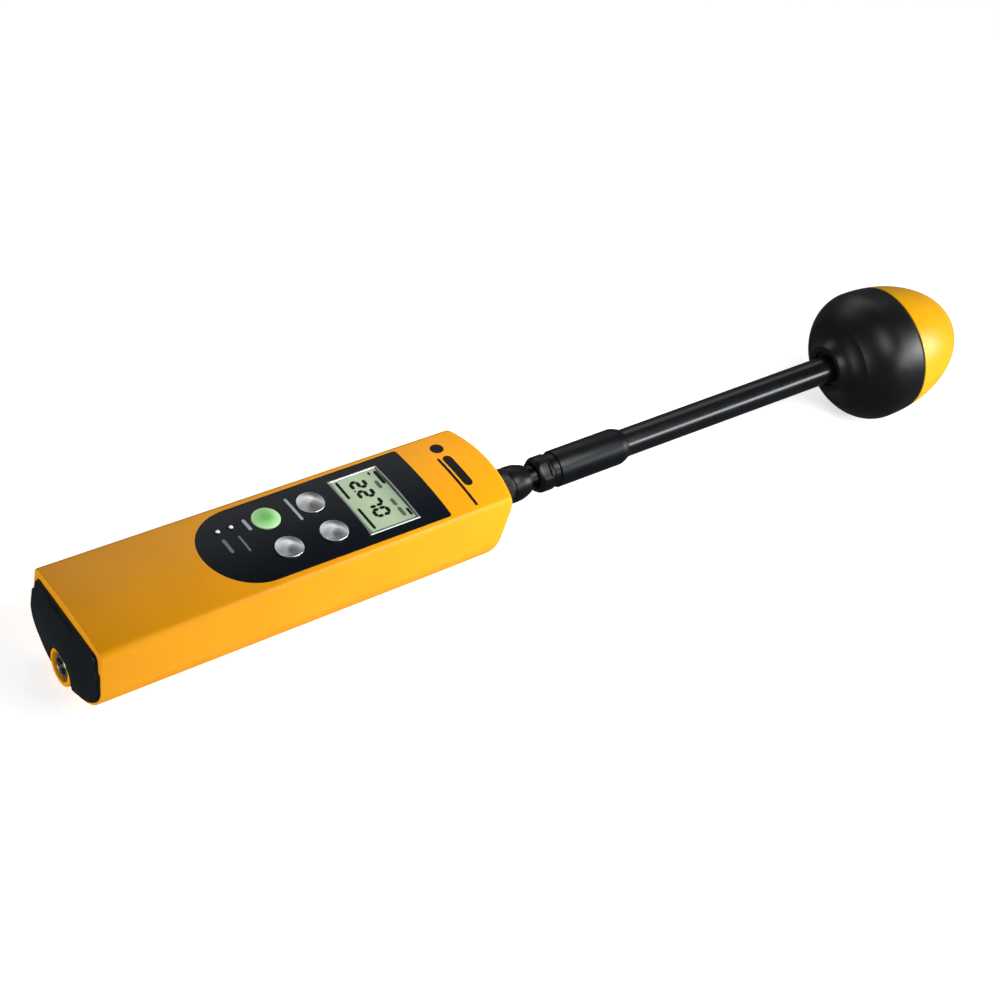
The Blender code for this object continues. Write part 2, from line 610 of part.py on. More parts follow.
def make_connector():
    """The instrument's half of the connector, fixed in the front wall."""
    bore = PLUG_RADIUS + 2 * GAP
    turned("probe_connector",
           [(CONNECTOR_END, bore), (CONNECTOR_END, CONNECTOR_RADIUS - 0.4),
            (CONNECTOR_END - 0.4, CONNECTOR_RADIUS), (FLANGE_BACK + 2, CONNECTOR_RADIUS),
            (FLANGE_BACK + 2, FLANGE_RADIUS), (FLANGE_BACK, FLANGE_RADIUS),
            (FLANGE_BACK, CONNECTOR_RADIUS), (178.0, CONNECTOR_RADIUS), (178.0, bore)],
           "nickel", ring=True)
    turned("connector_insert", [(188.0, 0.0), (188.0, bore - GAP), (178.5, bore - GAP), (178.5, 0.0)],
           "black_plastic", segments=20)
    turned("connector_nut", [(187.2, CONNECTOR_RADIUS + GAP), (187.2, 10.4), (184.4, 10.4),
                             (184.4, CONNECTOR_RADIUS + GAP)],
           "nickel", ring=True, segments=24)


def make_plug():
    """The probe's half of the connector, its spring-loaded release sleeve and the collar."""
    turned("probe_plug",
           [(246.0, 0.0), (246.0, PLUG_RADIUS), (190.0, PLUG_RADIUS), (189.0, PLUG_RADIUS - 0.8),
            (189.0, 0.0)],
           "nickel", segments=24)
    bore = PLUG_RADIUS + GAP
    turned("release_sleeve",
           [(SLEEVE_END, bore), (SLEEVE_END, bore + 0.5), (SLEEVE_END - 1.6, SLEEVE_RADIUS - 1.1),
            (SLEEVE_END - 4.5, SLEEVE_RADIUS - 0.2), (SLEEVE_END - 7.0, SLEEVE_RADIUS),
            (CONNECTOR_END + GAP + 0.8, SLEEVE_RADIUS), (CONNECTOR_END + GAP, SLEEVE_RADIUS - 0.6),
            (CONNECTOR_END + GAP, bore)],
           "black_plastic", ring=True)
    collar = turned("probe_collar",
                    [(COLLAR_END, bore), (COLLAR_END, COLLAR_RADIUS), (COLLAR_BACK + 2, COLLAR_RADIUS),
                     (COLLAR_BACK, COLLAR_RADIUS - 1.4), (COLLAR_BACK, bore)],
                    "black_plastic", ring=True)
    reach = COLLAR_RADIUS - 0.9
    for name, low, high in (("near_flat", -20.0, -reach), ("far_flat", reach, 20.0)):
        combine(collar, box(name, (COLLAR_BACK - 5, low, -20), (COLLAR_END - 1.5, high, 20),
                            parent=PROBE_AXIS, spin=-FLAT_TURN))


def make_handle():
    bore = PLUG_RADIUS + GAP
    wide = TUBE_RADIUS + GAP
    turned("probe_handle",
           [(HANDLE_END, wide), (HANDLE_END, wide + 0.3), (HANDLE_END - 1.2, HANDLE_RADIUS - 0.9),
            (HANDLE_END - 3.5, HANDLE_RADIUS), (HANDLE_BACK + 0.8, HANDLE_RADIUS),
            (HANDLE_BACK, HANDLE_RADIUS - 0.8), (HANDLE_BACK, bore), (TUBE_BACK - 2, bore),
            (TUBE_BACK - 2, wide)],
           "black_plastic", ring=True)
    box("preamplifier", (247.0, -4.5, -0.8), (259.0, 4.5, 0.8), "board_green", parent=PROBE_AXIS)
    turned("probe_tube", [(TUBE_END, TUBE_BORE), (TUBE_END, TUBE_RADIUS), (TUBE_BACK, TUBE_RADIUS),
                          (TUBE_BACK, TUBE_BORE)],
           "black_plastic", ring=True, segments=24)
    box("sensor_line", (TUBE_BACK, -1.6, -0.4), (383.0, 1.6, 0.4), "chip", parent=PROBE_AXIS)


def make_ball():
    half_seal = 0.4
    start = BALL_CENTRE - (BALL_CENTRE - BALL_BACK) * sqrt(1 - (HUB_RIM / BALL_RADIUS) ** 2)
    outer = ball_curve(SEAM - half_seal - GAP, start, 9)
    fillet = [(HUB_BACK + (start - HUB_BACK) * cos(a), HUB_RIM - (HUB_RIM - HUB_RADIUS) * sin(a))
              for a in (radians(22), radians(45), radians(68), radians(90))]
    inner_start = BALL_CENTRE - ((BALL_CENTRE - BALL_BACK - DOME_WALL)
                                 * sqrt(1 - (HUB_WELL / (BALL_RADIUS - DOME_WALL)) ** 2))
    inner = list(reversed(ball_curve(SEAM - half_seal - GAP, inner_start, 7, DOME_WALL)))
    bore = TUBE_RADIUS + GAP
    turned("rear_dome",
           outer + fillet + [(HUB_BACK, HUB_MOUTH), (HUB_FLOOR, HUB_MOUTH), (HUB_FLOOR, bore),
                             (inner_start, bore)] + inner,
           "black_plastic", ring=True, segments=BALL_SEGMENTS)
    seal = ball_radius(SEAM)
    turned("dome_seal", [(SEAM + half_seal, seal - 3.0), (SEAM + half_seal, seal - 0.3),
                         (SEAM - half_seal, seal - 0.3), (SEAM - half_seal, seal - 3.0)],
           "rubber", ring=True, segments=BALL_SEGMENTS)
    outer = ball_curve(TIP, SEAM + half_seal + GAP, 9)
    inner = list(reversed(ball_curve(TIP - DOME_WALL, SEAM + half_seal + GAP, 7, DOME_WALL)))
    turned("front_dome", outer + inner, "dome_yellow", segments=BALL_SEGMENTS)


def make_sensor():
    """Three dipoles on the faces of a triangular carrier, each at equal angles to the axis."""
    magic = atan2(sqrt(2), 1)
    reach = TUBE_BORE - GAP
    stub = turned("dipole_carrier", [(CARRIER_BACK + 0.5, 0.0), (CARRIER_BACK + 0.5, reach),
                                     (TUBE_END - 7, reach), (TUBE_END - 7, 0.0)],
                  "white_plastic", segments=18)

    def fill(bm):
        turn = Matrix.Rotation(pi / 2, 4, "Y") @ Matrix.Rotation(-pi / 2, 4, "Z")
        middle = Matrix.Translation(((CARRIER_END + CARRIER_BACK) / 2, 0, 0))
        bmesh.ops.create_cone(bm, cap_ends=True, segments=3, radius1=2 * CARRIER_FACE,
                              radius2=2 * CARRIER_FACE, depth=CARRIER_END - CARRIER_BACK,
                              matrix=middle @ turn)

    combine(stub, shape("carrier_prism", fill, parent=PROBE_AXIS), "UNION")
    for i in range(3):
        def fill_board(bm):
            bmesh.ops.create_cube(bm, size=1.0)
            bmesh.ops.scale(bm, vec=(DIPOLE_LENGTH, DIPOLE_WIDTH, 0.6), verts=bm.verts)
            bmesh.ops.rotate(bm, matrix=Matrix.Rotation(magic, 3, "Z"), verts=bm.verts)
            bmesh.ops.translate(bm, vec=(BALL_CENTRE, 0, CARRIER_FACE + 2 * GAP), verts=bm.verts)
            bmesh.ops.rotate(bm, matrix=Matrix.Rotation(2 * pi * i / 3, 3, "X"), verts=bm.verts)

        shape(f"dipole_{i + 1}", fill_board, "board_green", PROBE_AXIS)


# ---- Assembly ----


def empty(name, at, parent=None):
    obj = bpy.data.objects.new(name, None)
    obj.empty_display_size = 0.01
    PARTS.objects.link(obj)
    obj.parent = parent
    obj.location = Vector(at) * MM
    return obj


def lay_down(instrument):
    """Tilt the instrument until belly and ball touch the ground; centre it over the origin."""
    run, rise = BALL_CENTRE - BACK_EDGE, PROBE_HEIGHT - BELLY_LAND
    tilt = asin(BALL_RADIUS / hypot(run, rise)) - atan2(rise, run)
    back = -CAP_BULGE * cos(tilt) - BELLY_AXIS * sin(tilt)
    tip = TIP * cos(tilt) - PROBE_HEIGHT * sin(tilt)
    instrument.rotation_euler = (0.0, -tilt, 0.0)
    drop = BACK_EDGE * sin(tilt) + BELLY_LAND * cos(tilt)
    instrument.location = Vector((-(back + tip) / 2, 0.0, -drop)) * MM


for old in list(bpy.data.objects):
    bpy.data.objects.remove(old)
PARTS = new_collection("field_meter")
CUTTERS = new_collection("cutters")
INSTRUMENT = empty("instrument", (0.0, 0.0, 0.0))
PROBE_AXIS = empty("probe_axis", (0.0, 0.0, PROBE_HEIGHT), INSTRUMENT)

make_housing()
make_keypad()
make_display()
make_electronics()
make_battery()
make_charging_socket()
make_connector()
make_plug()
make_handle()
make_ball()
make_sensor()
lay_down(INSTRUMENT)
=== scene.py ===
import json
from math import asin, cos, hypot, pi, radians, sin, sqrt

import bmesh
import bpy
from mathutils import Matrix, Vector


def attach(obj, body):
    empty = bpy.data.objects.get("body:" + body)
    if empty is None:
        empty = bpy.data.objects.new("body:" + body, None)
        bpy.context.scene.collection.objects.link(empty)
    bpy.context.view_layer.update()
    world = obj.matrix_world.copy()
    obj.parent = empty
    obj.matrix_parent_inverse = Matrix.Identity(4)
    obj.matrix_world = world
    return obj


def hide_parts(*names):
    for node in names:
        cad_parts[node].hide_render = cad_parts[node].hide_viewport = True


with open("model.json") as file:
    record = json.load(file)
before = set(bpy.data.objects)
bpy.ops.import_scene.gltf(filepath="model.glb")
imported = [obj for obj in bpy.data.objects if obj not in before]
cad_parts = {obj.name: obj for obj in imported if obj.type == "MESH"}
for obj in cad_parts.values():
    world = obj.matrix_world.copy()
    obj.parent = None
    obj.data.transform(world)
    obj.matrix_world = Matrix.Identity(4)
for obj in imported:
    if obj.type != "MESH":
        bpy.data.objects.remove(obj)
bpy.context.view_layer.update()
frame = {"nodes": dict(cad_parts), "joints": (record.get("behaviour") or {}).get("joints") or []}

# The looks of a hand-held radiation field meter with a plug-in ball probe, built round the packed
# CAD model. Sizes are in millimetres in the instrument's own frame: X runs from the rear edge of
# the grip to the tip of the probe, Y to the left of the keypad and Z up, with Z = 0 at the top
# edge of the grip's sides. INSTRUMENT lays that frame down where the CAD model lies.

MM = 0.001

# Grip body, as in the CAD
GRIP_LENGTH = 194.0
HALF_REAR, HALF_FRONT = 28.0, 25.4
CROWN = 1.8
EDGE_RADIUS = 3.0
FLARE = 1.2
BELLY_AXIS, BELLY_DEPTH, BELLY_LAND = -20.0, 19.8, -39.3
PARTING, PARTING_GAP = -22.0, 0.06
BACK_EDGE = 0.6
NOSE, NOSE_RADIUS, NOSE_BREAK, NOSE_LEAN = 199.6, 82.0, -6.0, 0.27
NOSE_ROUNDING, NOSE_SIDE_ROUNDING = 2.6, 1.1
WALL, FRONT_WALL, CEILING = 2.2, 5.0, -3.0
GAP = 0.3
PAST_REAR, PAST_NOSE, PAST_SIDE, PAST_BELLY, PAST_TOP = -10.0, 210.0, 40.0, -60.0, 5.0  # for cutters

# Keypad panel, keys and lamps
PANEL_HALF, PANEL_FRONT, PANEL_ARC, PANEL_CORNER = 22.4, 166.2, 82.7, 1.5
POCKET_FLOOR = -1.4
FILM_DROP = 0.1  # how far the film lies below the grip's crown
INK = 0.03  # thickness of a print
KEY_RADIUS, KEY_FLANGE, LAMP_RADIUS = 6.1, 7.2, 1.0
HOLE_CLEARANCE, HOLE_FOOT = 0.35, -8.0  # the holes of the keys and lamps
KEYS = {"power_key": "key_green", "key_rear_right": "spun", "key_front_left": "spun",
        "key_front_right": "spun"}
LAMPS = ("charge_lamp", "status_lamp")

# Prints: bars across the grip as (station, start, end, width)
LABEL_BARS = ((86.6, 13.5, 6.2, 1.5), (108.5, 16.8, 2.0, 1.2))
LAMP_BARS = ((73.4, 6.5, -2.2, 1.5), (80.2, 5.5, -4.4, 0.9))
FRONT_BARS = ((179.2, 9.0, -22.0, 1.3), (182.9, 9.0, -11.0, 4.2), (182.6, 17.8, 11.8, 6.0))

# Display
READING, DIGIT_BASE, DIGIT_TALL, DIGIT_WIDE, DIGIT_PITCH, FIRST_DIGIT = "2270", 137.6, 6.2, 4.0, 6.1, 12.6
# dark bars along the display's rear and front edges, in the digits' colour, as (station, start, end,
# width)
DISPLAY_BARS = ((132.8, 16.0, 4.4, 1.3), (132.9, -1.6, -15.6, 1.3), (148.3, 15.6, 13.2, 1.0),
                (151.2, -10.2, -15.2, 1.3), (151.2, 15.2, 6.0, 1.7))
FAINT_BARS = ((148.4, 9.8, 4.2, 1.7), (148.4, -2.4, -7.6, 1.7), (148.4, -8.2, -14.4, 1.7))
SEGMENTS_OF = {"0": "abcdef", "2": "abged", "7": "abc"}
# each segment of a digit one unit wide and two high: (from, to)
SEGMENT_LINES = {"a": ((0, 2), (1, 2)), "b": ((1, 2), (1, 1)), "c": ((1, 1), (1, 0)),
                 "d": ((0, 0), (1, 0)), "e": ((0, 0), (0, 1)), "f": ((0, 1), (0, 2)),
                 "g": ((0, 1), (1, 1))}

# Belly and rear end
DOOR_BACK, DOOR_FRONT, DOOR_HALF, DOOR_ROOM = 10.6, 73.5, 16.2, -30.0
SCREWS = [f"housing_screw_{i}" for i in range(1, 5)]
SCREW_SEAT, SCREW_SHANK, SCREW_HEAD, SCREW_HOLE, SEAT_HOLE = -28.5, 1.1, 2.5, 1.5, 2.9
SOCKET_HEIGHT, ARCH_RADIUS, ARCH_CENTRE, BOSS_END = -30.2, 9.0, -30.6, -2.6
CAP_EDGE, CAP_BULGE = 1.4, 3.6

# Probe
CONNECTOR_BORE, CONNECTOR_RADIUS = 6.2, 8.0
FLANGE_PLACE, FLANGE_THICKNESS, FLANGE_RADIUS = 16.4, 2.0, 9.8  # the place counts from the rear end
PLUG_RADIUS, NECK_BORE = 5.6, 5.9  # the neck runs through sleeve, collar and handle
SLEEVE_RADIUS, COLLAR_RADIUS, HANDLE_RADIUS, GROOVE = 8.2, 8.1, 8.3, 0.3
FLAT_REACH, FLAT_TURN = 7.2, 50.0  # the collar's two flats
ROD_RADIUS, ROD_BORE, ROD_HOLE, ROD_HOLE_BACK = 6.3, 5.0, 6.6, 260.0
BALL_CENTRE, BALL_RADIUS, BALL_BACK, TIP = 415.9, 30.5, 393.0, 464.8
DOME_WALL, BALL_SEGMENTS = 2.0, 112
HUB_BACK, HUB_RADIUS, HUB_RIM = 391.6, 11.0, 21.0  # the flare from the ball towards the rod
HUB_MOUTH, HUB_FLOOR = 8.0, 393.4  # the recess round the rod

# Stage, in metres. A softbox is (place, aim, size, watts, spread in degrees if narrowed)
FLOOR_HALF = 4.0
WALL_FOOT, WALL_TOP, WALL_RADIUS = -0.01, 3.5, 3.8
SKY_COLOUR, SKY_STRENGTH = (0.92, 0.96, 1.0, 1.0), 0.09
SOFTBOXES = {
    "key_left": ((0.1, 1.35, 0.95), (0.1, 0.0, 0.0), (1.5, 0.9), 5.0),
    "strip_right": ((0.75, -1.1, 0.48), (0.05, 0.0, 0.03), (1.0, 0.3), 8.6),
    "ball_right": ((0.9, -0.42, 0.22), (0.2, 0.0, 0.03), (0.25, 0.4), 0.9, 70.0),
    "front_top": ((0.06, -0.18, 0.3), (-0.03, 0.0, 0.03), (0.15, 0.15), 0.34, 90.0),
    "key_glow": ((0.72, 0.86, 0.98), (-0.1, 0.0, 0.04), (0.9, 0.6), 1.1),
    "rear_fill": ((-0.9, -0.15, 0.16), (-0.23, 0.0, 0.03), (0.5, 0.3), 1.1, 120.0),
}

# Camera
CAMERA_SPOT = Vector((-0.6207, -0.6792, 0.8059))
CAMERA_AIM = Vector((-0.0463, -0.0289, 0.0511))
CAMERA_ROLL, CAMERA_LENS, CAMERA_SENSOR = 11.05, 99.73, 36.0


# ---- The instrument's own frame ----


def joint(name):
    return next(j for j in frame["joints"] if j["name"] == name)


def lying_matrix():
    """Own frame to row frame, from the probe's axis and the battery door's hinge."""
    ahead = Vector(joint("probe_unplug")["axis"])
    across = Vector((0.0, 1.0, 0.0))
    turn = Matrix((ahead, across, ahead.cross(across))).transposed()
    hinge = Vector(joint("battery_door_swing")["pos_m"])
    origin = hinge - turn @ (Vector((DOOR_FRONT, 0.0, BELLY_LAND)) * MM)
    return Matrix.Translation(origin) @ turn.to_4x4()


INSTRUMENT = lying_matrix()


def extent(node):
    """Lowest and highest corner of a CAD node in the instrument's own frame."""
    inverse = INSTRUMENT.inverted()
    points = [inverse @ vertex.co / MM for vertex in frame["nodes"][node].data.vertices]
    return (Vector([min(p[i] for p in points) for i in range(3)]),
            Vector([max(p[i] for p in points) for i in range(3)]))


def middle(node):
    low, high = extent(node)
    return (low + high) / 2


PROBE_HEIGHT = middle("probe_tube").z


# ---- Mesh helpers: every function makes a bmesh in millimetres ----


def arc(centre, radius, start, end, steps):
    turns = [radians(start + (end - start) * i / steps) for i in range(steps + 1)]
    return [(centre[0] + radius * cos(a), centre[1] + radius * sin(a)) for a in turns]


SOFT_STEPS = 4


def softened(corners, closed=False):
    """An outline from (x, y, rounding) corners, each rounded by a short curve."""
    count = len(corners)
    points = []
    for i, (x, y, rounding) in enumerate(corners):
        if rounding == 0 or (not closed and i in (0, count - 1)):
            points.append((x, y))
            continue
        here = Vector((x, y))
        back = Vector(corners[i - 1][:2]) - here
        ahead = Vector(corners[(i + 1) % count][:2]) - here
        reach = min(rounding, 0.45 * back.length, 0.45 * ahead.length)
        start, end = here + back.normalized() * reach, here + ahead.normalized() * reach
        for k in range(SOFT_STEPS + 1):
            t = k / SOFT_STEPS
            point = start * (1 - t) ** 2 + here * (2 * t * (1 - t)) + end * t ** 2
            points.append((point.x, point.y))
    return points


def bent(start, first, second, end, steps):
    """Points along a Bezier curve through its start and end."""
    ends = [Vector(p) for p in (start, first, second, end)]
    points = []
    for i in range(steps + 1):
        t = i / steps
        shares = ((1 - t) ** 3, 3 * t * (1 - t) ** 2, 3 * t ** 2 * (1 - t), t ** 3)
        points.append(tuple(sum((p * w for p, w in zip(ends, shares)), Vector((0, 0)))))
    return points


def skin(loops, tip=None, ring=False):
    """Faces between closed loops of points: a ring of them, or capped, with a tip at the last."""
    bm = bmesh.new()
    rings = [[bm.verts.new(point) for point in loop] for loop in loops]
    for this, following in zip(rings, rings[1:] + rings[:1] if ring else rings[1:]):
        for i in range(len(this)):
            bm.faces.new((this[i - 1], this[i], following[i], following[i - 1]))
    if ring:
        return bm
    bm.faces.new(rings[0])
    if tip:
        point = bm.verts.new(tip)
        for i in range(len(rings[-1])):
            bm.faces.new((rings[-1][i - 1], rings[-1][i], point))
    else:
        bm.faces.new(rings[-1])
    return bm


def turned(profile, segments=64, ring=False, ribs=None):
    """Turn (station, radius) points about the Z axis; ribs changes a radius by station and angle."""
    bm = bmesh.new()
    rows = []
    for station, radius in profile:
        if radius < 1e-6:
            rows.append([bm.verts.new((0.0, 0.0, station))] * segments)
            continue
        row = []
        for i in range(segments):
            angle = 2 * pi * i / segments
            reach = radius + (ribs(station, radius, i) if ribs else 0.0)
            row.append(bm.verts.new((reach * cos(angle), reach * sin(angle), station)))
        rows.append(row)
    pairs = list(zip(rows, rows[1:]))
    if ring:
        pairs.append((rows[-1], rows[0]))
    for this, following in pairs:
        for i in range(segments):
            corners = (this[i - 1], this[i], following[i], following[i - 1])
            kept = list(dict.fromkeys(corners))
            if len(kept) > 2:
                bm.faces.new(kept)
    return bm


def peg(low, high, radius):
    """An upright cylinder, as a cutter or boss."""
    return turned([(high, 0.0), (high, radius), (low, radius), (low, 0.0)], 48)


def prism(outline, low, high):
    """An (x, y) outline between two heights."""
    return skin([[(x, y, z) for x, y in outline] for z in (low, high)])


def block(low, high):
    """A box between two corners, as a cutter."""
    bm = bmesh.new()
    low, high = Vector(low), Vector(high)
    bmesh.ops.create_cube(bm, size=1.0)
    bmesh.ops.scale(bm, vec=high - low, verts=bm.verts)
    bmesh.ops.translate(bm, vec=(low + high) / 2, verts=bm.verts)
    return bm


def merged(parts):
    """Several bmeshes as one."""
    whole = bmesh.new()
    for part in parts:
        mesh = bpy.data.meshes.new("part")
        part.to_mesh(mesh)
        part.free()
        whole.from_mesh(mesh)
        bpy.data.meshes.remove(mesh)
    return whole


UPRIGHT = Matrix.Identity(4)
ALONG = Matrix.Rotation(pi / 2, 4, "Y")  # turns a shape's Z axis to the instrument's +X


def solid(name, bm, at=(0.0, 0.0, 0.0), turn=UPRIGHT):
    """An object in the instrument's frame from a bmesh in millimetres."""
    bmesh.ops.recalc_face_normals(bm, faces=bm.faces)
    bmesh.ops.scale(bm, vec=(MM, MM, MM), verts=bm.verts)
    mesh = bpy.data.meshes.new(name)
    bm.to_mesh(mesh)
    bm.free()
    obj = bpy.data.objects.new(name, mesh)
    bpy.context.scene.collection.objects.link(obj)
    obj.matrix_world = INSTRUMENT @ Matrix.Translation(Vector(at) * MM) @ turn
    return obj


def lying(name, bm, height=PROBE_HEIGHT):
    """An object whose Z axis lies along the instrument at a height, the probe's axis by default."""
    return solid(name, bm, (0.0, 0.0, height), ALONG)


def on_probe(name, profile, **options):
    return lying(name, turned(profile, **options))


SLIVER = 0.000004  # points nearer than this, in metres, are joined after a cut
CUTTERS = []


def cut(target, cutters, operation="DIFFERENCE"):
    """Apply cutters to a solid. They are kept for other cuts until clear_cutters."""
    for cutter in cutters:
        step = target.modifiers.new("cut", "BOOLEAN")
        step.object = cutter
        step.operation = operation
        if cutter not in CUTTERS:
            CUTTERS.append(cutter)
    bpy.context.view_layer.update()
    seen = target.evaluated_get(bpy.context.evaluated_depsgraph_get())
    mesh = bpy.data.meshes.new_from_object(seen)
    target.modifiers.clear()
    bm = bmesh.new()
    bm.from_mesh(mesh)
    bmesh.ops.remove_doubles(bm, verts=bm.verts, dist=SLIVER)
    bmesh.ops.dissolve_degenerate(bm, edges=bm.edges, dist=SLIVER)
    bm.to_mesh(mesh)
    bm.free()
    target.data = mesh


def clear_cutters():
    for cutter in CUTTERS:
        bpy.data.objects.remove(cutter)
    CUTTERS.clear()


def dress(obj, look, slot, *stands_for, body="root", sharp=38.0):
    """Finish a piece, fix it to its CAD body, and hide the CAD nodes it stands for."""
    obj.data.materials.clear()
    obj.data.materials.append(LOOKS[look])
    obj.data.polygons.foreach_set("use_smooth", [True] * len(obj.data.polygons))
    obj.data.set_sharp_from_angle(angle=radians(sharp))
    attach(obj, body)
    if stands_for:
        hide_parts(*stands_for)


# ---- Materials ----


COAT_ROUGHNESS = 0.1
BUMP_HEIGHT = 0.00001  # metres


def new_material(name, roughness, metallic=0.0, coat=0.0, specular=0.5, anisotropy=0.0,
                 emission=None):
    """A material with its constants on the shader; emission is (red, green, blue, strength)."""
    made = bpy.data.materials.new(name)
    made.use_nodes = True
    tree = made.node_tree
    shader = tree.nodes["Principled BSDF"]
    for socket, value in (("Roughness", roughness), ("Metallic", metallic), ("Coat Weight", coat),
                          ("Coat Roughness", COAT_ROUGHNESS), ("Specular IOR Level", specular),
                          ("Anisotropic", anisotropy)):
        shader.inputs[socket].default_value = value
    if emission:
        shader.inputs["Emission Color"].default_value = (*emission[:3], 1.0)
        shader.inputs["Emission Strength"].default_value = emission[3]
    return made, tree, shader


def join(source, socket):
    """Link a node's output to an input of the same material."""
    socket.id_data.links.new(source, socket)


def node(tree, kind, **values):
    made = tree.nodes.new(kind)
    for name, value in values.items():
        socket = made.inputs.get(name.replace("_", " "))
        if socket is None:
            setattr(made, name, value)
        else:
            socket.default_value = value
    return made


def own_place(tree):
    return node(tree, "ShaderNodeTexCoord").outputs["Object"]


def noise(tree, scale, detail=2.0, stretch=(1.0, 1.0, 1.0)):
    """Noise in the piece's own coordinates; scale is in features a metre."""
    mapping = node(tree, "ShaderNodeMapping", Scale=stretch)
    texture = node(tree, "ShaderNodeTexNoise", Scale=scale, Detail=detail)
    join(own_place(tree), mapping.inputs["Vector"])
    join(mapping.outputs["Vector"], texture.inputs["Vector"])
    return texture.outputs["Fac"]


def tint(tree, shader, source, colours, low=0.3, high=0.7):
    """Colour the material with colours spread evenly over a range of a value."""
    made = node(tree, "ShaderNodeValToRGB")
    marks = made.color_ramp.elements
    for i, colour in enumerate(colours):
        place = low + (high - low) * i / (len(colours) - 1)
        mark = marks[i] if i < 2 else marks.new(place)
        mark.position = place
        mark.color = (*colour, 1.0)
    join(source, made.inputs["Fac"])
    join(made.outputs["Color"], shader.inputs["Base Color"])


def roughen(tree, shader, source, low, high):
    """Let the roughness follow the middle half of a value's range."""
    made = node(tree, "ShaderNodeMapRange", From_Min=0.25, From_Max=0.75, To_Min=low, To_Max=high)
    join(source, made.inputs["Value"])
    join(made.outputs["Result"], shader.inputs["Roughness"])


def bump(tree, shader, source, strength):
    made = node(tree, "ShaderNodeBump", Strength=strength, Distance=BUMP_HEIGHT)
    join(source, made.inputs["Height"])
    join(made.outputs["Normal"], shader.inputs["Normal"])


def shades(colour, change):
    """A darker and a lighter shade of a colour."""
    return [tuple(c * (1 - change) for c in colour), tuple(min(1.0, c * (1 + change)) for c in colour)]


def plastic(name, colour, roughness, change=0.05, grain=2600.0, strength=0.25, **more):
    """Moulded plastic: slow drift of the colour, uneven gloss and a fine spark-eroded grain."""
    made, tree, shader = new_material(name, roughness, **more)
    tint(tree, shader, noise(tree, 45.0, 3.0), shades(colour, change))
    roughen(tree, shader, noise(tree, 130.0, 4.0), roughness * 0.88, roughness * 1.12)
    bump(tree, shader, noise(tree, grain, 1.0), strength)
    return made


def metal(name, colour, roughness, stretch=(1.0, 1.0, 1.0)):
    """Plated or drawn metal: fine marks, stretched along one direction, and uneven gloss."""
    made, tree, shader = new_material(name, roughness, metallic=1.0)
    lines = noise(tree, 1800.0, 3.0, stretch)
    tint(tree, shader, lines, shades(colour, 0.08))
    roughen(tree, shader, lines, roughness * 0.8, roughness * 1.25)
    bump(tree, shader, lines, 0.15)
    return made


def spun_metal(name, colour, roughness):
    """A lathe-turned face: rings round the key's own axis, which draw a fan of light."""
    made, tree, shader = new_material(name, roughness, metallic=1.0, anisotropy=0.7)
    rings = node(tree, "ShaderNodeTexWave", Scale=900.0, Distortion=1.2, wave_type="RINGS",
                 rings_direction="Z")
    join(own_place(tree), rings.inputs["Vector"])
    tint(tree, shader, rings.outputs["Fac"], shades(colour, 0.05), 0.0, 1.0)
    roughen(tree, shader, rings.outputs["Fac"], roughness * 0.85, roughness * 1.15)
    around = node(tree, "ShaderNodeTangent", direction_type="RADIAL", axis="Z")
    join(around.outputs["Tangent"], shader.inputs["Tangent"])
    return made


def rim_highlight_plastic(name, centre, rim, radius, roughness):
    """Translucent plastic with a paler colour painted towards its rim as a painted highlight; radius is
    in millimetres.
    """
    made, tree, shader = new_material(name, roughness, coat=0.25)
    shader.inputs["Subsurface Weight"].default_value = 0.15
    shader.inputs["Subsurface Radius"].default_value = (0.002, 0.003, 0.001)
    flat = node(tree, "ShaderNodeVectorMath", operation="MULTIPLY")
    flat.inputs[1].default_value = (1.0, 1.0, 0.0)
    length = node(tree, "ShaderNodeVectorMath", operation="LENGTH")
    share = node(tree, "ShaderNodeMath", operation="MULTIPLY")
    share.inputs[1].default_value = 1.0 / (radius * MM)
    join(own_place(tree), flat.inputs[0])
    join(flat.outputs["Vector"], length.inputs[0])
    join(length.outputs["Value"], share.inputs[0])
    # the rim colour is painted highlight, paler than the key's own green at the centre
    tint(tree, shader, share.outputs["Value"], [centre, rim], 0.25, 1.0)
    bump(tree, shader, noise(tree, 2200.0), 0.15)
    return made


def board(name):
    """Solder mask with pale pads and darker tracks."""
    made, tree, shader = new_material(name, 0.35)
    cells = node(tree, "ShaderNodeTexVoronoi", Scale=420.0)
    join(own_place(tree), cells.inputs["Vector"])
    tint(tree, shader, cells.outputs["Distance"],
         [(0.5, 0.42, 0.2), (0.02, 0.13, 0.05), (0.014, 0.09, 0.04)], 0.12, 0.6)
    roughen(tree, shader, noise(tree, 300.0), 0.3, 0.45)
    return made


def display_look(name):
    """The cell of the display: pale green-grey, with painted shade making it a little darker towards the
    front edge.
    """
    made, tree, shader = new_material(name, 0.3, specular=0.3)
    split = node(tree, "ShaderNodeSeparateXYZ")
    join(own_place(tree), split.inputs["Vector"])
    low, high = extent("display_bezel")
    along = node(tree, "ShaderNodeMapRange", From_Min=low.x * MM, From_Max=high.x * MM)
    join(split.outputs["X"], along.inputs["Value"])
    # the darker colour at the front edge is painted shade
    tint(tree, shader, along.outputs["Result"],
         [(0.36, 0.47, 0.3), (0.4, 0.5, 0.33), (0.28, 0.35, 0.24)], 0.1, 0.95)
    roughen(tree, shader, noise(tree, 400.0), 0.13, 0.2)
    return made


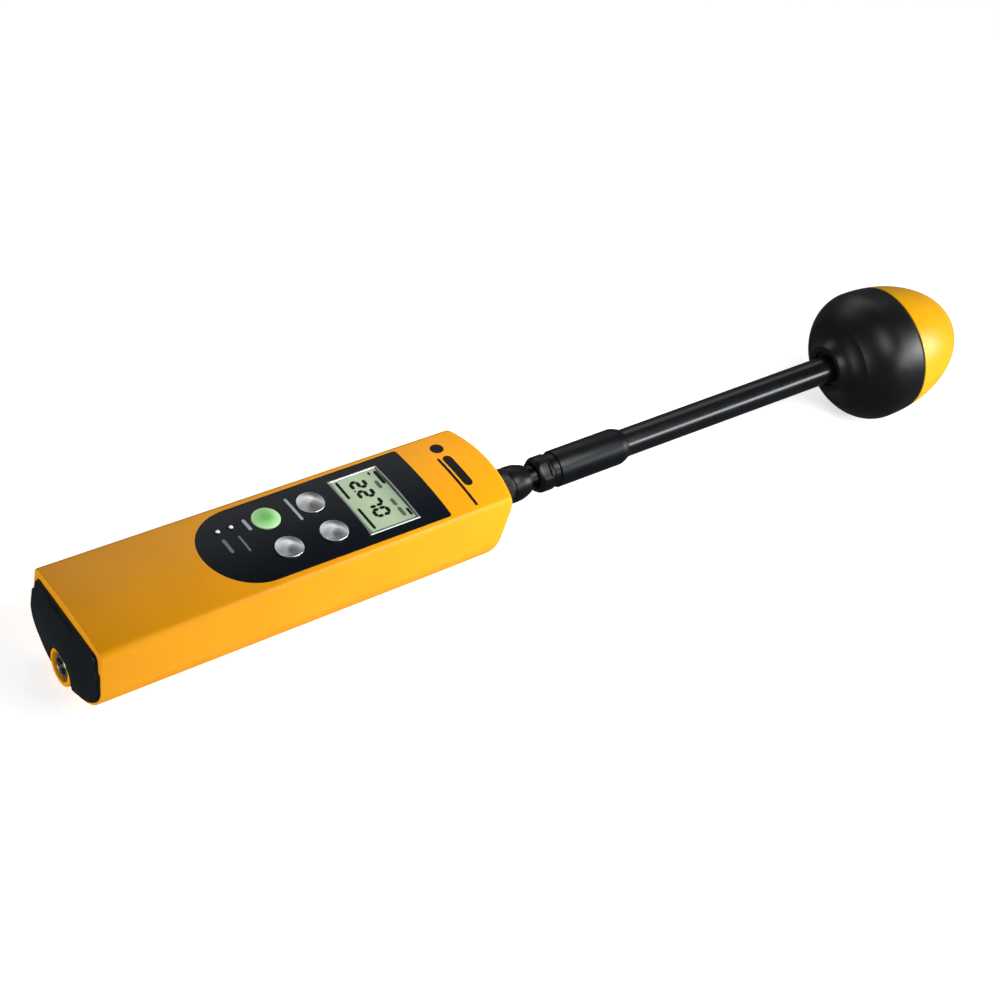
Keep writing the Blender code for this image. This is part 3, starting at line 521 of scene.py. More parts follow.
LOOKS = {
    "orange": plastic("orange_plastic", (0.8, 0.32, 0.001), 0.36, change=0.03, specular=0.18),
    "yellow": plastic("dome_plastic", (0.96, 0.46, 0.006), 0.32, change=0.03, grain=900.0,
                      strength=0.08, specular=0.2),
    "black": plastic("black_plastic", (0.003, 0.004, 0.005), 0.34, change=0.2, specular=0.22),
    "gloss_black": plastic("gloss_black", (0.002, 0.003, 0.004), 0.36, change=0.2, grain=1600.0,
                           strength=0.1, specular=0.22),
    "rod_black": plastic("rod_black", (0.002, 0.003, 0.004), 0.22, change=0.2, grain=1600.0,
                         strength=0.04, specular=0.7),
    "ball_black": plastic("ball_black", (0.002, 0.003, 0.0035), 0.4, change=0.2, grain=1600.0,
                          strength=0.12, specular=0.4),
    "cap_black": plastic("cap_plastic", (0.003, 0.006, 0.008), 0.4, change=0.2, specular=0.3),
    "film": plastic("panel_film", (0.002, 0.004, 0.007), 0.3, change=0.15, grain=3800.0,
                    specular=0.1),
    "ink": plastic("printed_ink", (0.36, 0.38, 0.42), 0.5, change=0.1),
    "dim_ink": plastic("dim_ink", (0.13, 0.14, 0.17), 0.5, change=0.1),
    "dark_ink": plastic("dark_ink", (0.005, 0.004, 0.003), 0.45, change=0.1, specular=0.15),
    "segment": plastic("display_segment", (0.003, 0.008, 0.004), 0.4, change=0.2, specular=0.05),
    "faint_segment": plastic("faint_segment", (0.06, 0.09, 0.05), 0.3, change=0.2, specular=0.2),
    "lamp": plastic("lamp_lens", (0.85, 0.87, 0.9), 0.15, coat=0.5, emission=(0.9, 0.95, 1.0, 0.25)),
    "rubber": plastic("seal_rubber", (0.012, 0.012, 0.012), 0.75, change=0.3, grain=900.0),
    "silicone": plastic("switch_silicone", (0.22, 0.23, 0.24), 0.65, grain=900.0),
    "white": plastic("white_plastic", (0.7, 0.7, 0.67), 0.45),
    "chip": plastic("chip_black", (0.015, 0.015, 0.017), 0.5, change=0.3, grain=1500.0),
    "jacket": plastic("cell_jacket", (0.05, 0.09, 0.22), 0.3, coat=0.3),
    # the green key's pale rim is painted highlight
    "key_green": rim_highlight_plastic("key_green", (0.13, 0.52, 0.09), (0.5, 0.85, 0.42), 6.0, 0.4),
    "spun": spun_metal("spun_key", (0.7, 0.71, 0.72), 0.36),
    "bezel": metal("bezel_silver", (0.36, 0.38, 0.37), 0.45, stretch=(1.0, 0.1, 1.0)),
    "nickel": metal("nickel_plate", (0.62, 0.6, 0.56), 0.24),
    "dark_nickel": metal("dark_nickel", (0.012, 0.013, 0.015), 0.3),
    "steel": metal("screw_steel", (0.5, 0.5, 0.51), 0.3),
    "tinplate": metal("tinned_steel", (0.58, 0.58, 0.58), 0.36, stretch=(0.1, 1.0, 1.0)),
    "brass": metal("turned_brass", (0.74, 0.5, 0.2), 0.27),
    "board": board("circuit_board"),
    "display": display_look("display_cell"),
}


# ---- The grip's outer form ----


def nose_station(y, z):
    return NOSE - y * y / (2 * NOSE_RADIUS) - NOSE_LEAN * max(0.0, NOSE_BREAK - z)


def half_width(x):
    return HALF_REAR + (HALF_FRONT - HALF_REAR) * x / GRIP_LENGTH


def crown_height(x, y):
    return CROWN * (1 - (y / half_width(x)) ** 2)


def section(x, inset, roof, crown, fine):
    """The D-shaped cross-section at station x, as (y, z) points once round from the top."""
    half = half_width(x) - inset
    shoulder = half - EDGE_RADIUS

    def top(y):
        return roof + crown * (1 - (y / half) ** 2)

    tops, corners, bellies, flank = 5 * fine, 3 * fine, 6 * fine, 2 * fine
    side = [(shoulder * i / tops, top(shoulder * i / tops)) for i in range(tops)]
    side += arc((shoulder, top(shoulder) - EDGE_RADIUS), EDGE_RADIUS, 90, 0, corners)
    start = side[-1]
    end = (half + FLARE, BELLY_AXIS)
    for i in range(1, flank):
        t = i / flank
        side.append((start[0] + (end[0] - start[0]) * t, start[1] + (end[1] - start[1]) * t))
    depth = BELLY_DEPTH - inset
    last = asin((BELLY_AXIS - BELLY_LAND - inset) / depth)
    for i in range(bellies + 1):
        turn = last * i / bellies
        side.append(((half + FLARE) * cos(turn), BELLY_AXIS - depth * sin(turn)))
    return side + [(-y, z) for y, z in reversed(side[1:])]


def shrunk(outline, share):
    """An outline of (y, z) points drawn in towards the belly's axis."""
    return [(y * share, BELLY_AXIS + (z - BELLY_AXIS) * share) for y, z in outline]


GRIP_FINE, CAP_FINE = 2, 4  # how finely curves are divided


def grip_form(inset=0.0, roof=0.0, crown=CROWN, back=0.0, front_wall=0.0, edge=BACK_EDGE):
    """The grip as one solid, or its hollow when it is inset; a loft from rear to front."""
    rings = []
    steps = 2 * GRIP_FINE
    for i in range(steps if edge else 0):
        turn = radians(90 * i / steps)
        shrink = edge * (1 - sin(turn))
        rings.append((0.0, shrink, shrink, edge * (1 - cos(turn))))
    rings.append((0.0, 0.0, 0.0, edge))
    rings += [(i / 12, 0.0, 0.0, 0.0) for i in range(1, 12)]
    steps = 3 * GRIP_FINE
    for i in range(steps + 1):
        turn = radians(90 * i / steps)
        rings.append((1.0, NOSE_SIDE_ROUNDING * (1 - cos(turn)), NOSE_ROUNDING * (1 - cos(turn)),
                      -NOSE_ROUNDING * (1 - sin(turn))))
    loops = []
    for share, shrink, drop, along in rings:
        points = section(share * GRIP_LENGTH, inset + shrink, roof - drop, crown, GRIP_FINE)
        loops.append([(back + share * (nose_station(y, z) - front_wall - back) + along, y, z)
                      for y, z in points])
    for share in (0.8, 0.6, 0.4, 0.2):
        loops.append([(nose_station(y, z) - front_wall, y, z) for y, z in shrunk(points, share)])
    return skin(loops, tip=(nose_station(0, BELLY_AXIS) - front_wall, 0, BELLY_AXIS))


def hollow_form(inset):
    """The space inside the grip's walls, open at the rear."""
    return grip_form(inset=inset, roof=CEILING, crown=0.0, back=-1.0, front_wall=FRONT_WALL, edge=0.0)


def panel_outline(grow):
    """The keypad panel: a straight front edge with small corners and a round rear end."""
    half, front = PANEL_HALF + grow, PANEL_FRONT + grow
    corner = (front - PANEL_CORNER, half - PANEL_CORNER)
    points = arc(corner, PANEL_CORNER, 0, 90, 6)
    points += arc((PANEL_ARC, 0.0), half, 90, 270, 60)
    return points + arc((corner[0], -corner[1]), PANEL_CORNER, -90, 0, 6)


def arch_form():
    """A cutter with a half-round top that reaches down past the belly, at the rear end's middle."""
    outline = arc((0.0, ARCH_CENTRE), ARCH_RADIUS, 0, 180, 40)
    outline += [(-ARCH_RADIUS, PAST_BELLY), (ARCH_RADIUS, PAST_BELLY)]
    return skin([[(x, y, z) for y, z in outline] for x in (PAST_REAR, 20.0)])


# ---- Housing ----

def bores(name, nodes, radius, low, high):
    """Upright holes round CAD nodes."""
    parts = []
    for item in nodes:
        spot = middle(item)
        bm = peg(low, high, radius)
        bmesh.ops.translate(bm, vec=(spot.x, spot.y, 0.0), verts=bm.verts)
        parts.append(bm)
    return solid(name, merged(parts))


def make_shared_cutters():
    """The cutters that more than one piece needs."""
    flange = extent("probe_connector")[0].x + FLANGE_PLACE - GAP
    room, neck = FLANGE_RADIUS + GAP, CONNECTOR_RADIUS + GAP
    return {
        "hollow": solid("hollow", hollow_form(WALL)),
        "keys": bores("key_bores", KEYS, KEY_RADIUS + HOLE_CLEARANCE, HOLE_FOOT, PAST_TOP),
        "lamps": bores("lamp_bores", LAMPS, LAMP_RADIUS + HOLE_CLEARANCE, HOLE_FOOT, PAST_TOP),
        "connector": on_probe("connector_bore", [(NOSE + 5, 0.0), (NOSE + 5, room), (flange, room),
                                                 (flange, neck), (170.0, neck), (170.0, 0.0)]),
    }


def make_upper_housing(shared):
    low, high = extent("display_bezel")
    inset = Vector((0.6, 0.6, 0.0))
    screen = solid("screen_bore", block(low + inset + Vector((0, 0, HOLE_FOOT)),
                                        high - inset + Vector((0, 0, PAST_TOP))))
    upper = solid("housing_top", grip_form())
    below = solid("below", block((PAST_REAR, -PAST_SIDE, PAST_BELLY), (PAST_NOSE, PAST_SIDE, PARTING)))
    pocket = solid("pocket", prism(panel_outline(0.15), POCKET_FLOOR, PAST_TOP))
    cut(upper, [shared["hollow"], below, pocket, shared["keys"], shared["lamps"], screen,
                shared["connector"]])
    dress(upper, "orange", "housing_orange", "upper_housing")


def make_lower_housing(shared):
    """The belly, with bosses for the tripod bush and the socket, and the door's opening."""
    lower = solid("housing_belly", grip_form())
    cut(lower, [shared["hollow"]])
    bush_place = (middle("tripod_bush").x, 0, 0)
    boss = solid("bush_boss", peg(BELLY_LAND + 1, -27.5, 8.5), bush_place)
    reach = ARCH_RADIUS - 2 * GAP
    socket_boss = lying("socket_boss", turned(softened(
        [(9.0, 0, 0), (9.0, reach, 0), (BOSS_END, reach, 0.5), (BOSS_END, 0, 0)])), ARCH_CENTRE)
    cut(lower, [boss, socket_boss], "UNION")
    above = solid("above", block((PAST_REAR, -PAST_SIDE, PARTING - PARTING_GAP),
                                 (PAST_NOSE, PAST_SIDE, 10)))
    opening = solid("door_opening", block((DOOR_BACK - GAP, -DOOR_HALF - GAP, PAST_BELLY),
                                          (DOOR_FRONT + GAP, DOOR_HALF + GAP, DOOR_ROOM)))
    holes = bores("screw_bores", SCREWS, SCREW_HOLE, SCREW_SEAT - 1, CEILING - 5)
    seats = bores("screw_seats", SCREWS, SEAT_HOLE, PAST_BELLY, SCREW_SEAT)
    bush = solid("bush_bore", peg(PAST_BELLY, -28.7, 6.3), bush_place)
    socket = lying("socket_bore", turned([(12.0, 0.0), (12.0, 4.9), (2.0, 4.9), (2.0, 6.6), (-5.0, 6.6),
                                          (-5.0, 0.0)], 48), SOCKET_HEIGHT)
    cut(lower, [above, opening, holes, seats, shared["connector"], bush, socket])
    dress(lower, "orange", "housing_orange", "lower_housing")


def make_door():
    """A piece of the belly with four grip grooves."""
    door = solid("battery_lid", grip_form())
    cut(door, [solid("door_block", block((DOOR_BACK, -DOOR_HALF, PAST_BELLY),
                                         (DOOR_FRONT, DOOR_HALF, DOOR_ROOM)))], "INTERSECT")
    grooves = [block((x, -7.0, PAST_BELLY), (x + 1.1, 7.0, BELLY_LAND + 0.45))
               for x in (15.0, 17.6, 20.2, 22.8)]
    cut(door, [solid("door_hollow", hollow_form(WALL - GAP)), solid("grip_grooves", merged(grooves))])
    dress(door, "orange", "housing_orange", "battery_door", body="battery_door")


def make_end_cap():
    """The black cap: a plug inside the rim and a gently domed face that laps over its sides."""
    clear = WALL + GAP
    half = HALF_REAR - clear
    notch, lap = -10.0, 1.075  # below the notch the face laps over the sides
    seam = -0.14
    plug = section(0.0, clear, CEILING - GAP, 0.0, CAP_FINE)
    face = [(y * (lap if z < notch else 1.0), z) for y, z in plug]

    def ring(outline, share, x=None):
        loop = []
        for y, z in shrunk(outline, share):
            reach = min(1.0, hypot(y / half, (z - BELLY_AXIS) / BELLY_DEPTH))
            bulge = CAP_EDGE + (CAP_BULGE - CAP_EDGE) * (1 - reach * reach)
            loop.append((-bulge if x is None else x, y, z))
        return loop

    loops = [ring(plug, 1.0, 7.0), ring(plug, 1.0, -0.12), ring(face, 1.0, seam)]
    for i in range(1, 6):
        turn = radians(90 * i / 5)
        loops.append(ring(face, 1.0 - 0.03 * (1 - cos(turn)), seam - (CAP_EDGE + seam) * sin(turn)))
    loops += [ring(face, share) for share in (0.94, 0.86, 0.74, 0.6, 0.45, 0.3, 0.15)]
    cap = solid("rear_cap", skin(loops, tip=(-CAP_BULGE, 0.0, BELLY_AXIS)))
    cut(cap, [solid("arch", arch_form())])
    dress(cap, "cap_black", "end_plastic", "end_cap")


def make_charging_socket():
    low, high = extent("charging_socket")
    outer, bore = (high.y - low.y) / 2, 3.7
    at = SOCKET_HEIGHT
    barrel = softened([(high.x, bore, 0), (high.x, outer, 0), (low.x, outer, 0.5), (low.x, bore, 0.4)],
                      closed=True)
    dress(lying("socket_barrel", turned(barrel, ring=True), at), "nickel", "nickel_plate",
          "charging_socket")
    washer = softened([(1.9, 4.75, 0), (1.9, 6.5, 0), (-1.5, 6.5, 0.5), (-1.5, 4.75, 0.3)], closed=True)
    dress(lying("socket_washer", turned(washer, ring=True), at), "tinplate", "nickel_plate")
    low, high = extent("charging_insert")
    insert = softened([(high.x, 0, 0), (high.x, 3.5, 0), (low.x, 3.5, 0.4), (low.x, 1.3, 0.2),
                       (low.x + 1.0, 1.2, 0), (low.x + 1.0, 0.0, 0)])
    dress(lying("socket_insert", turned(insert), at), "black", "inner_black", "charging_insert")
    pin = softened([(low.x + 1.2, 0, 0), (low.x + 1.2, 0.9, 0), (0.9, 0.9, 0.7), (0.6, 0, 0)])
    dress(lying("socket_pin", turned(pin, 32), at), "nickel", "nickel_plate")


def make_screws():
    """Four cross-head screws; reach and width are half the length and width of a recess arm."""
    reach, width, seat = 1.6, 0.32, SCREW_SEAT - GAP
    for i, name in enumerate(SCREWS, 1):
        spot = middle(name)
        low, high = extent(name)
        head = softened([(high.z, 0, 0), (high.z, SCREW_SHANK, 0), (seat, SCREW_SHANK, 0),
                         (seat, SCREW_HEAD, 0.3), (low.z, SCREW_HEAD, 0.9), (low.z, 0, 0)])
        screw = solid(name + "_head", turned(head, 40), (spot.x, spot.y, 0))
        turn = Matrix.Rotation(radians(25 + 37 * i), 4, "Z")  # each screw stopped at its own angle
        cut(screw, [solid("arm", block((-x, -y, low.z - 1), (x, y, low.z + 1.3)),
                          (spot.x, spot.y, 0), turn) for x, y in ((reach, width), (width, reach))])
        dress(screw, "steel", "screw_steel", name)


def make_tripod_bush():
    low, high = extent("tripod_bush")
    outer, bore, pitch = (high.y - low.y) / 2, 3.2, 1.27
    threads = [(high.z - 1.5, bore - 0.35)]
    station = high.z - 1.5
    while station - pitch > low.z + 0.4:
        threads += [(station - pitch * share, bore + lift)
                    for share, lift in ((0.1, -0.35), (0.5, 0.15), (0.9, -0.35))]
        station -= pitch
    profile = [(high.z, 0.0), (high.z, outer - 0.8), (high.z - 1, outer), (low.z + 0.2, outer),
               (low.z, outer - 0.2), (low.z, bore + 0.3)]
    profile += list(reversed(threads)) + [(high.z - 1.5, 0.0)]
    dress(solid("tripod_insert", turned(profile), (middle("tripod_bush").x, 0, 0)), "brass",
          "bush_brass", "tripod_bush")


# ---- Keypad, lamps and display ----


def crowned_sheet(back, front, half, low, drop, step=1.3):
    """A sheet between two stations whose upper side follows the grip's crown."""
    columns, rows = round((front - back) / step), round(2 * half / step)
    places = [[(back + (front - back) * i / columns, -half + 2 * half * j / rows)
               for j in range(rows + 1)] for i in range(columns + 1)]
    bm = bmesh.new()
    grid = [[[bm.verts.new((x, y, crown_height(x, y) - drop)) for x, y in row] for row in places],
            [[bm.verts.new((x, y, low)) for x, y in row] for row in places]]
    for layer in grid:
        for i in range(columns):
            for j in range(rows):
                bm.faces.new((layer[i][j], layer[i + 1][j], layer[i + 1][j + 1], layer[i][j + 1]))
    for side in ([(i, 0) for i in range(columns + 1)], [(i, rows) for i in range(columns + 1)],
                 [(0, j) for j in range(rows + 1)], [(columns, j) for j in range(rows + 1)]):
        for (a, b), (c, d) in zip(side, side[1:]):
            bm.faces.new((grid[0][a][b], grid[0][c][d], grid[1][c][d], grid[1][a][b]))
    return bm


def make_film(shared):
    film = solid("keypad_film", crowned_sheet(PANEL_ARC - 24, 168, 23.5, POCKET_FLOOR + 0.1, FILM_DROP))
    cut(film, [solid("film_edge", prism(panel_outline(0.0), -6.0, 6.0))], "INTERSECT")
    low, high = extent("display_bezel")
    room = Vector((0.1, 0.1, 5))
    cut(film, [shared["keys"], shared["lamps"], solid("film_window", block(low - room, high + room))])
    dress(film, "film", "panel_film", "keypad_overlay")


def ink_bar(x, start, end, width, lift):
    """A printed bar across the grip at one station, with round ends, on the crown."""
    steps, radius, depth = 14, width / 2, 0.3
    centre, half_length = (start + end) / 2, abs(start - end) / 2
    loops = []
    for i in range(steps + 1):
        y = centre - half_length * cos(pi * i / steps)
        reach = max(0.0, half_length - abs(y - centre))
        half = sqrt(max(0.0, radius ** 2 - max(0.0, radius - reach) ** 2)) + 0.02
        top = crown_height(x, y) + lift
        loops.append([(x - half, y, top), (x + half, y, top), (x + half, y, top - depth),
                      (x - half, y, top - depth)])
    return skin(loops)


def make_print():
    """Plain bars beside the keys, beside the lamps, and at the front of the grip."""
    for name, bars, lift, look, slot in (
            ("label_bars", LABEL_BARS, INK - FILM_DROP, "ink", "panel_film"),
            ("lamp_bars", LAMP_BARS, INK - FILM_DROP, "dim_ink", "panel_film"),
            ("front_bars", FRONT_BARS, INK, "dark_ink", "housing_orange")):
        dress(solid(name, merged([ink_bar(*bar, lift) for bar in bars])), look, slot)


def make_keys():
    """Keys with a shallow dome, a soft rim, a flange under the panel and a plunger."""
    for name, look in KEYS.items():
        low, high = extent(name)
        spot = middle(name)
        rim = crown_height(spot.x, spot.y)
        dome = [(high.z - (high.z - rim - 0.55) * (i / 8) ** 2.2, (KEY_RADIUS - 0.5) * i / 8)
                for i in range(8)]
        under, flange = low.z + 2.2, low.z + 3
        profile = dome + softened([(rim + 0.62, KEY_RADIUS - 0.6, 0), (rim + 0.5, KEY_RADIUS, 0.6),
                                   (flange, KEY_RADIUS, 0), (flange, KEY_FLANGE, 0),
                                   (under, KEY_FLANGE, 0), (under, 2.0, 0), (low.z, 2.0, 0),
                                   (low.z, 0.0, 0)])
        slot = "key_green" if name == "power_key" else "key_grey"
        dress(solid(name + "_cap", turned(profile, 72), (spot.x, spot.y, 0.0)), look, slot, name,
              body=name)


def make_lamps():
    """Each lamp is a domed lens in a low collar on the film."""
    for name in LAMPS:
        low, high = extent(name)
        spot = middle(name)
        spot.z = 0.0
        top, film = high.z + 0.25, crown_height(spot.x, spot.y) - FILM_DROP
        lens = [(top, 0.0)] + [(top - 0.8 * (i / 5) ** 2, LAMP_RADIUS * i / 5) for i in range(1, 6)]
        lens += [(low.z, LAMP_RADIUS), (low.z, 0.0)]
        dress(solid(name + "_lens", turned(lens, 32), spot), "lamp", "lamp_lens", name)
        collar = softened([(film - 0.5, 1.1, 0), (film + 0.3, 1.1, 0.15), (film + 0.3, 1.9, 0.3),
                           (film - 0.5, 2.1, 0)], closed=True)
        dress(solid(name + "_collar", turned(collar, 40, ring=True), spot), "gloss_black", "panel_film")


def rectangle_path(low, high, steps):
    """Points once round a rectangle, with as many on each side, corners included."""
    corners = [(low[0], low[1]), (high[0], low[1]), (high[0], high[1]), (low[0], high[1])]
    points = []
    for (x0, y0), (x1, y1) in zip(corners, corners[1:] + corners[:1]):
        points += [(x0 + (x1 - x0) * i / steps, y0 + (y1 - y0) * i / steps) for i in range(steps)]
    return points


def make_bezel():
    low, high = extent("display_bezel")
    width, lift, edge = 1.1, 0.12, 0.25
    rails = []
    for inset, rise in ((0.0, -1.4), (0.0, lift - edge), (edge, lift), (width - edge, lift),
                        (width, lift - edge), (width, -1.4)):
        path = rectangle_path((low.x + inset, low.y + inset), (high.x - inset, high.y - inset), 20)
        rails.append([(x, y, crown_height(x, y) + rise) for x, y in path])
    dress(solid("display_frame", skin(rails, ring=True)), "bezel", "bezel_silver", "display_bezel",
          sharp=25)


def stroke(start, end, width, low, thickness=0.03):
    """A pointed bar between two (x, y) points, as on a segment display."""
    start, end = Vector(start), Vector(end)
    along = (end - start).normalized()
    across = Vector((-along.y, along.x)) * width / 2
    start, end = start + along * 0.06, end - along * 0.06
    shoulder = along * width / 2
    outline = [start, start + shoulder + across, end - shoulder + across, end,
               end - shoulder - across, start + shoulder - across]
    return prism([(p.x, p.y) for p in outline], low, low + thickness)


def make_display():
    low, high = extent("display_window")
    top = high.z
    face = softened([(x, y, 0.3) for x, y in rectangle_path(low, high, 1)], closed=True)
    dress(solid("display_cell", prism(face, top - 1.2, top)), "display", "display_face",
          "display_window", "display_glass")
    marks = []
    for i, digit in enumerate(READING):
        left = FIRST_DIGIT - DIGIT_PITCH * i
        for name in SEGMENTS_OF[digit]:
            ends = [(DIGIT_BASE + v * DIGIT_TALL / 2, left - u * DIGIT_WIDE)
                    for u, v in SEGMENT_LINES[name]]
            marks.append(stroke(*ends, 1.65, top))
    point = (DIGIT_BASE - 0.3, FIRST_DIGIT - DIGIT_PITCH + 1.2)
    marks.append(stroke((point[0], point[1] + 0.7), (point[0], point[1] - 0.7), 0.8, top))
    marks += [stroke((x, start), (x, end), width, top) for x, start, end, width in DISPLAY_BARS]
    dress(solid("display_digits", merged(marks)), "segment", "display_face")
    faint = [stroke((x, start), (x, end), width, top, 0.025) for x, start, end, width in FAINT_BARS]
    dress(solid("display_symbols", merged(faint)), "faint_segment", "display_face")


# ---- Probe ----


def probe_piece(name, profile, *finish, body="probe", sharp=38.0, **options):
    """A dressed turned shape on the probe's axis; finish is the look, the slot, which is not used, and
    the CAD node.
    """
    dress(on_probe(name, profile, **options), *finish, body=body, sharp=sharp)


def groove(front, radius, depth):
    """The corners of a shallow groove in a turned profile, from its front edge back."""
    return [(front - step, radius - drop, 0.2)
            for step, drop in ((0.0, 0.0), (0.3, depth), (0.8, depth), (1.1, 0.0))]


def make_connector():
    """The instrument's half, with a flange in the front wall."""
    low, high = extent("probe_connector")
    flange, body = low.x + FLANGE_PLACE, CONNECTOR_RADIUS
    front = flange + FLANGE_THICKNESS
    profile = [(high.x, CONNECTOR_BORE, 0), (high.x, body, 0.5)] + groove(flange + 4.4, body, 0.4)
    profile += [(front, body, 0), (front, FLANGE_RADIUS, 0.5), (flange, FLANGE_RADIUS, 0.2),
                (flange, body, 0), (low.x, body, 0), (low.x, CONNECTOR_BORE, 0)]
    probe_piece("connector_body", softened(profile, closed=True), "dark_nickel", "nickel_plate",
                "probe_connector", body="root", ring=True)


def make_plug():
    """The probe's half, with a latch groove and six contacts in its hollow end."""
    low, high = extent("probe_plug")
    radius, hollow, floor = PLUG_RADIUS, 4.6, low.x + 3
    plug = softened([(high.x, 0, 0), (high.x, radius, 0), (221, radius, 0.3), (220.6, 5.2, 0.3),
                     (219, 5.2, 0.3), (218.6, radius, 0.3), (low.x, radius, 0.8), (low.x, hollow, 0.2),
                     (floor, hollow, 0), (floor, 0.0, 0)])
    probe_piece("plug_barrel", plug, "dark_nickel", "nickel_plate", "probe_plug")
    contacts = []
    for i in range(6):
        bm = turned(softened([(low.x + 3.4, 0, 0), (low.x + 3.4, 0.45, 0), (low.x + 0.6, 0.45, 0.3),
                              (low.x + 0.6, 0, 0)]), 16)
        bmesh.ops.translate(bm, vec=(2.6 * cos(pi * i / 3), 2.6 * sin(pi * i / 3), 0.0), verts=bm.verts)
        contacts.append(bm)
    dress(lying("plug_contacts", merged(contacts)), "brass", "nickel_plate", body="probe")


def make_sleeve():
    """The release sleeve, knurled between two grooves."""
    low, high = extent("release_sleeve")
    radius = SLEEVE_RADIUS
    profile = [(high.x, NECK_BORE, 0), (high.x, 6.4, 0.2), (high.x - 1.6, 7.1, 0.9),
               (high.x - 4.5, 8.0, 2.0), (high.x - 7.0, radius, 0.5)]
    profile += groove(low.x + 9.0, radius, GROOVE) + groove(low.x + 2.4, radius, GROOVE)
    sleeve = softened(profile + [(low.x, radius, 0.5), (low.x, NECK_BORE, 0)], closed=True)
    smooth = radius - 0.2

    def knurl(station, reach, i):
        inside = low.x + 2.6 < station < low.x + 7.7 and reach > smooth
        return (-0.16 if i % 3 == 0 else 0.04) if inside else 0.0

    rows = []
    for this, following in zip(sleeve, sleeve[1:] + sleeve[:1]):
        rows.append(this)
        if abs(this[0] - following[0]) > 3.0 and this[1] > smooth:
            rows += [(this[0] + (following[0] - this[0]) * t, this[1]) for t in (0.06, 0.12, 0.88, 0.94)]
    probe_piece("grip_sleeve", rows, "gloss_black", "probe_black", "release_sleeve",
                body="release_sleeve", sharp=50, ring=True, segments=144, ribs=knurl)


def make_collar():
    low, high = extent("probe_collar")
    collar = on_probe("collar_body", softened(
        [(high.x, NECK_BORE, 0), (high.x, COLLAR_RADIUS, 0.4), (low.x + 2, COLLAR_RADIUS, 0.5),
         (low.x, 6.7, 0.5), (low.x, NECK_BORE, 0)], closed=True), ring=True, segments=96)
    turn = Matrix.Rotation(radians(-FLAT_TURN), 4, "X")
    cut(collar, [solid("flat", block((low.x - 5, a, -20), (high.x - 1.5, b, 20)), (0, 0, PROBE_HEIGHT),
                       turn) for a, b in ((-20, -FLAT_REACH), (FLAT_REACH, 20))])
    dress(collar, "gloss_black", "probe_black", "probe_collar", body="probe")


def make_handle():
    """The grip tube, tapered at its front and grooved at its rear, and the rod in it."""
    low, high = extent("probe_handle")
    wide, waist = HANDLE_RADIUS, 7.5
    handle = softened([(high.x, ROD_HOLE, 0), (high.x, 6.9, 0.2), (high.x - 1.2, 7.4, 0.8),
                       (high.x - 3.5, wide, 2.2), (low.x + 3.2, wide, 0.5), (low.x + 3.0, waist, 0.1),
                       (low.x + 0.4, waist, 0.2), (low.x, 7.3, 0.1), (low.x, NECK_BORE, 0),
                       (ROD_HOLE_BACK, NECK_BORE, 0), (ROD_HOLE_BACK, ROD_HOLE, 0)], closed=True)
    probe_piece("handle_body", handle, "gloss_black", "probe_black", "probe_handle", ring=True,
                segments=96)
    low, high = extent("probe_tube")
    tube = [(high.x, ROD_BORE)] + [(high.x + (low.x - high.x) * i / 12, ROD_RADIUS) for i in range(13)]
    probe_piece("rod_tube", tube + [(low.x, ROD_BORE)], "rod_black", "probe_black", "probe_tube",
                ring=True, segments=80)


def ball_curve(start, end, steps, inset=0.0):
    """Profile points along the ball between two stations, evenly spread by angle."""
    def span_of(side):
        return (BALL_CENTRE - BALL_BACK if side < 0 else TIP - BALL_CENTRE) - inset

    def angle(x):
        return asin(max(-1.0, min(1.0, (x - BALL_CENTRE) / span_of(x - BALL_CENTRE))))

    points = []
    for i in range(steps + 1):
        turn = angle(start) + (angle(end) - angle(start)) * i / steps
        points.append((BALL_CENTRE + span_of(turn) * sin(turn), (BALL_RADIUS - inset) * cos(turn)))
    return points


def make_ball():
    """A black rear half that flares in to the rod, and a yellow dome, both hollow."""
    seam = extent("rear_dome")[1].x
    rim = BALL_CENTRE - (BALL_CENTRE - BALL_BACK) * sqrt(1 - (HUB_RIM / BALL_RADIUS) ** 2)
    flare = bent((rim, HUB_RIM), (rim - 1.2, HUB_RIM - 6.2), (HUB_BACK + 3.8, HUB_RADIUS + 1.6),
                 (HUB_BACK + 1.1, HUB_RADIUS + 0.5), 20)
    lip = softened([(HUB_BACK + 1.0, HUB_RADIUS + 0.45, 0), (HUB_BACK, HUB_RADIUS, 1.1),
                    (HUB_BACK, HUB_MOUTH, 0.6), (HUB_FLOOR, HUB_MOUTH, 0.5), (HUB_FLOOR, ROD_HOLE, 0)])
    inner_start = rim + DOME_WALL + 1.0
    outer = ball_curve(seam, rim, 32)
    inner = list(reversed(ball_curve(seam, inner_start, 12, DOME_WALL)))
    profile = outer[:-1] + flare + lip + [(inner_start, ROD_HOLE)] + inner
    probe_piece("ball_rear", profile, "ball_black", "probe_black", "rear_dome", sharp=24, ring=True,
                segments=BALL_SEGMENTS)
    start = extent("front_dome")[0].x
    outer = ball_curve(TIP, start, 36)
    outer[0] = (TIP, 0.0)
    inner = list(reversed(ball_curve(TIP - DOME_WALL, start, 12, DOME_WALL)))
    inner[-1] = (TIP - DOME_WALL, 0.0)
    probe_piece("ball_front", outer + inner, "yellow", "dome_yellow", "front_dome",
                segments=BALL_SEGMENTS)


# ---- Battery, and the CAD nodes that keep their own shape ----


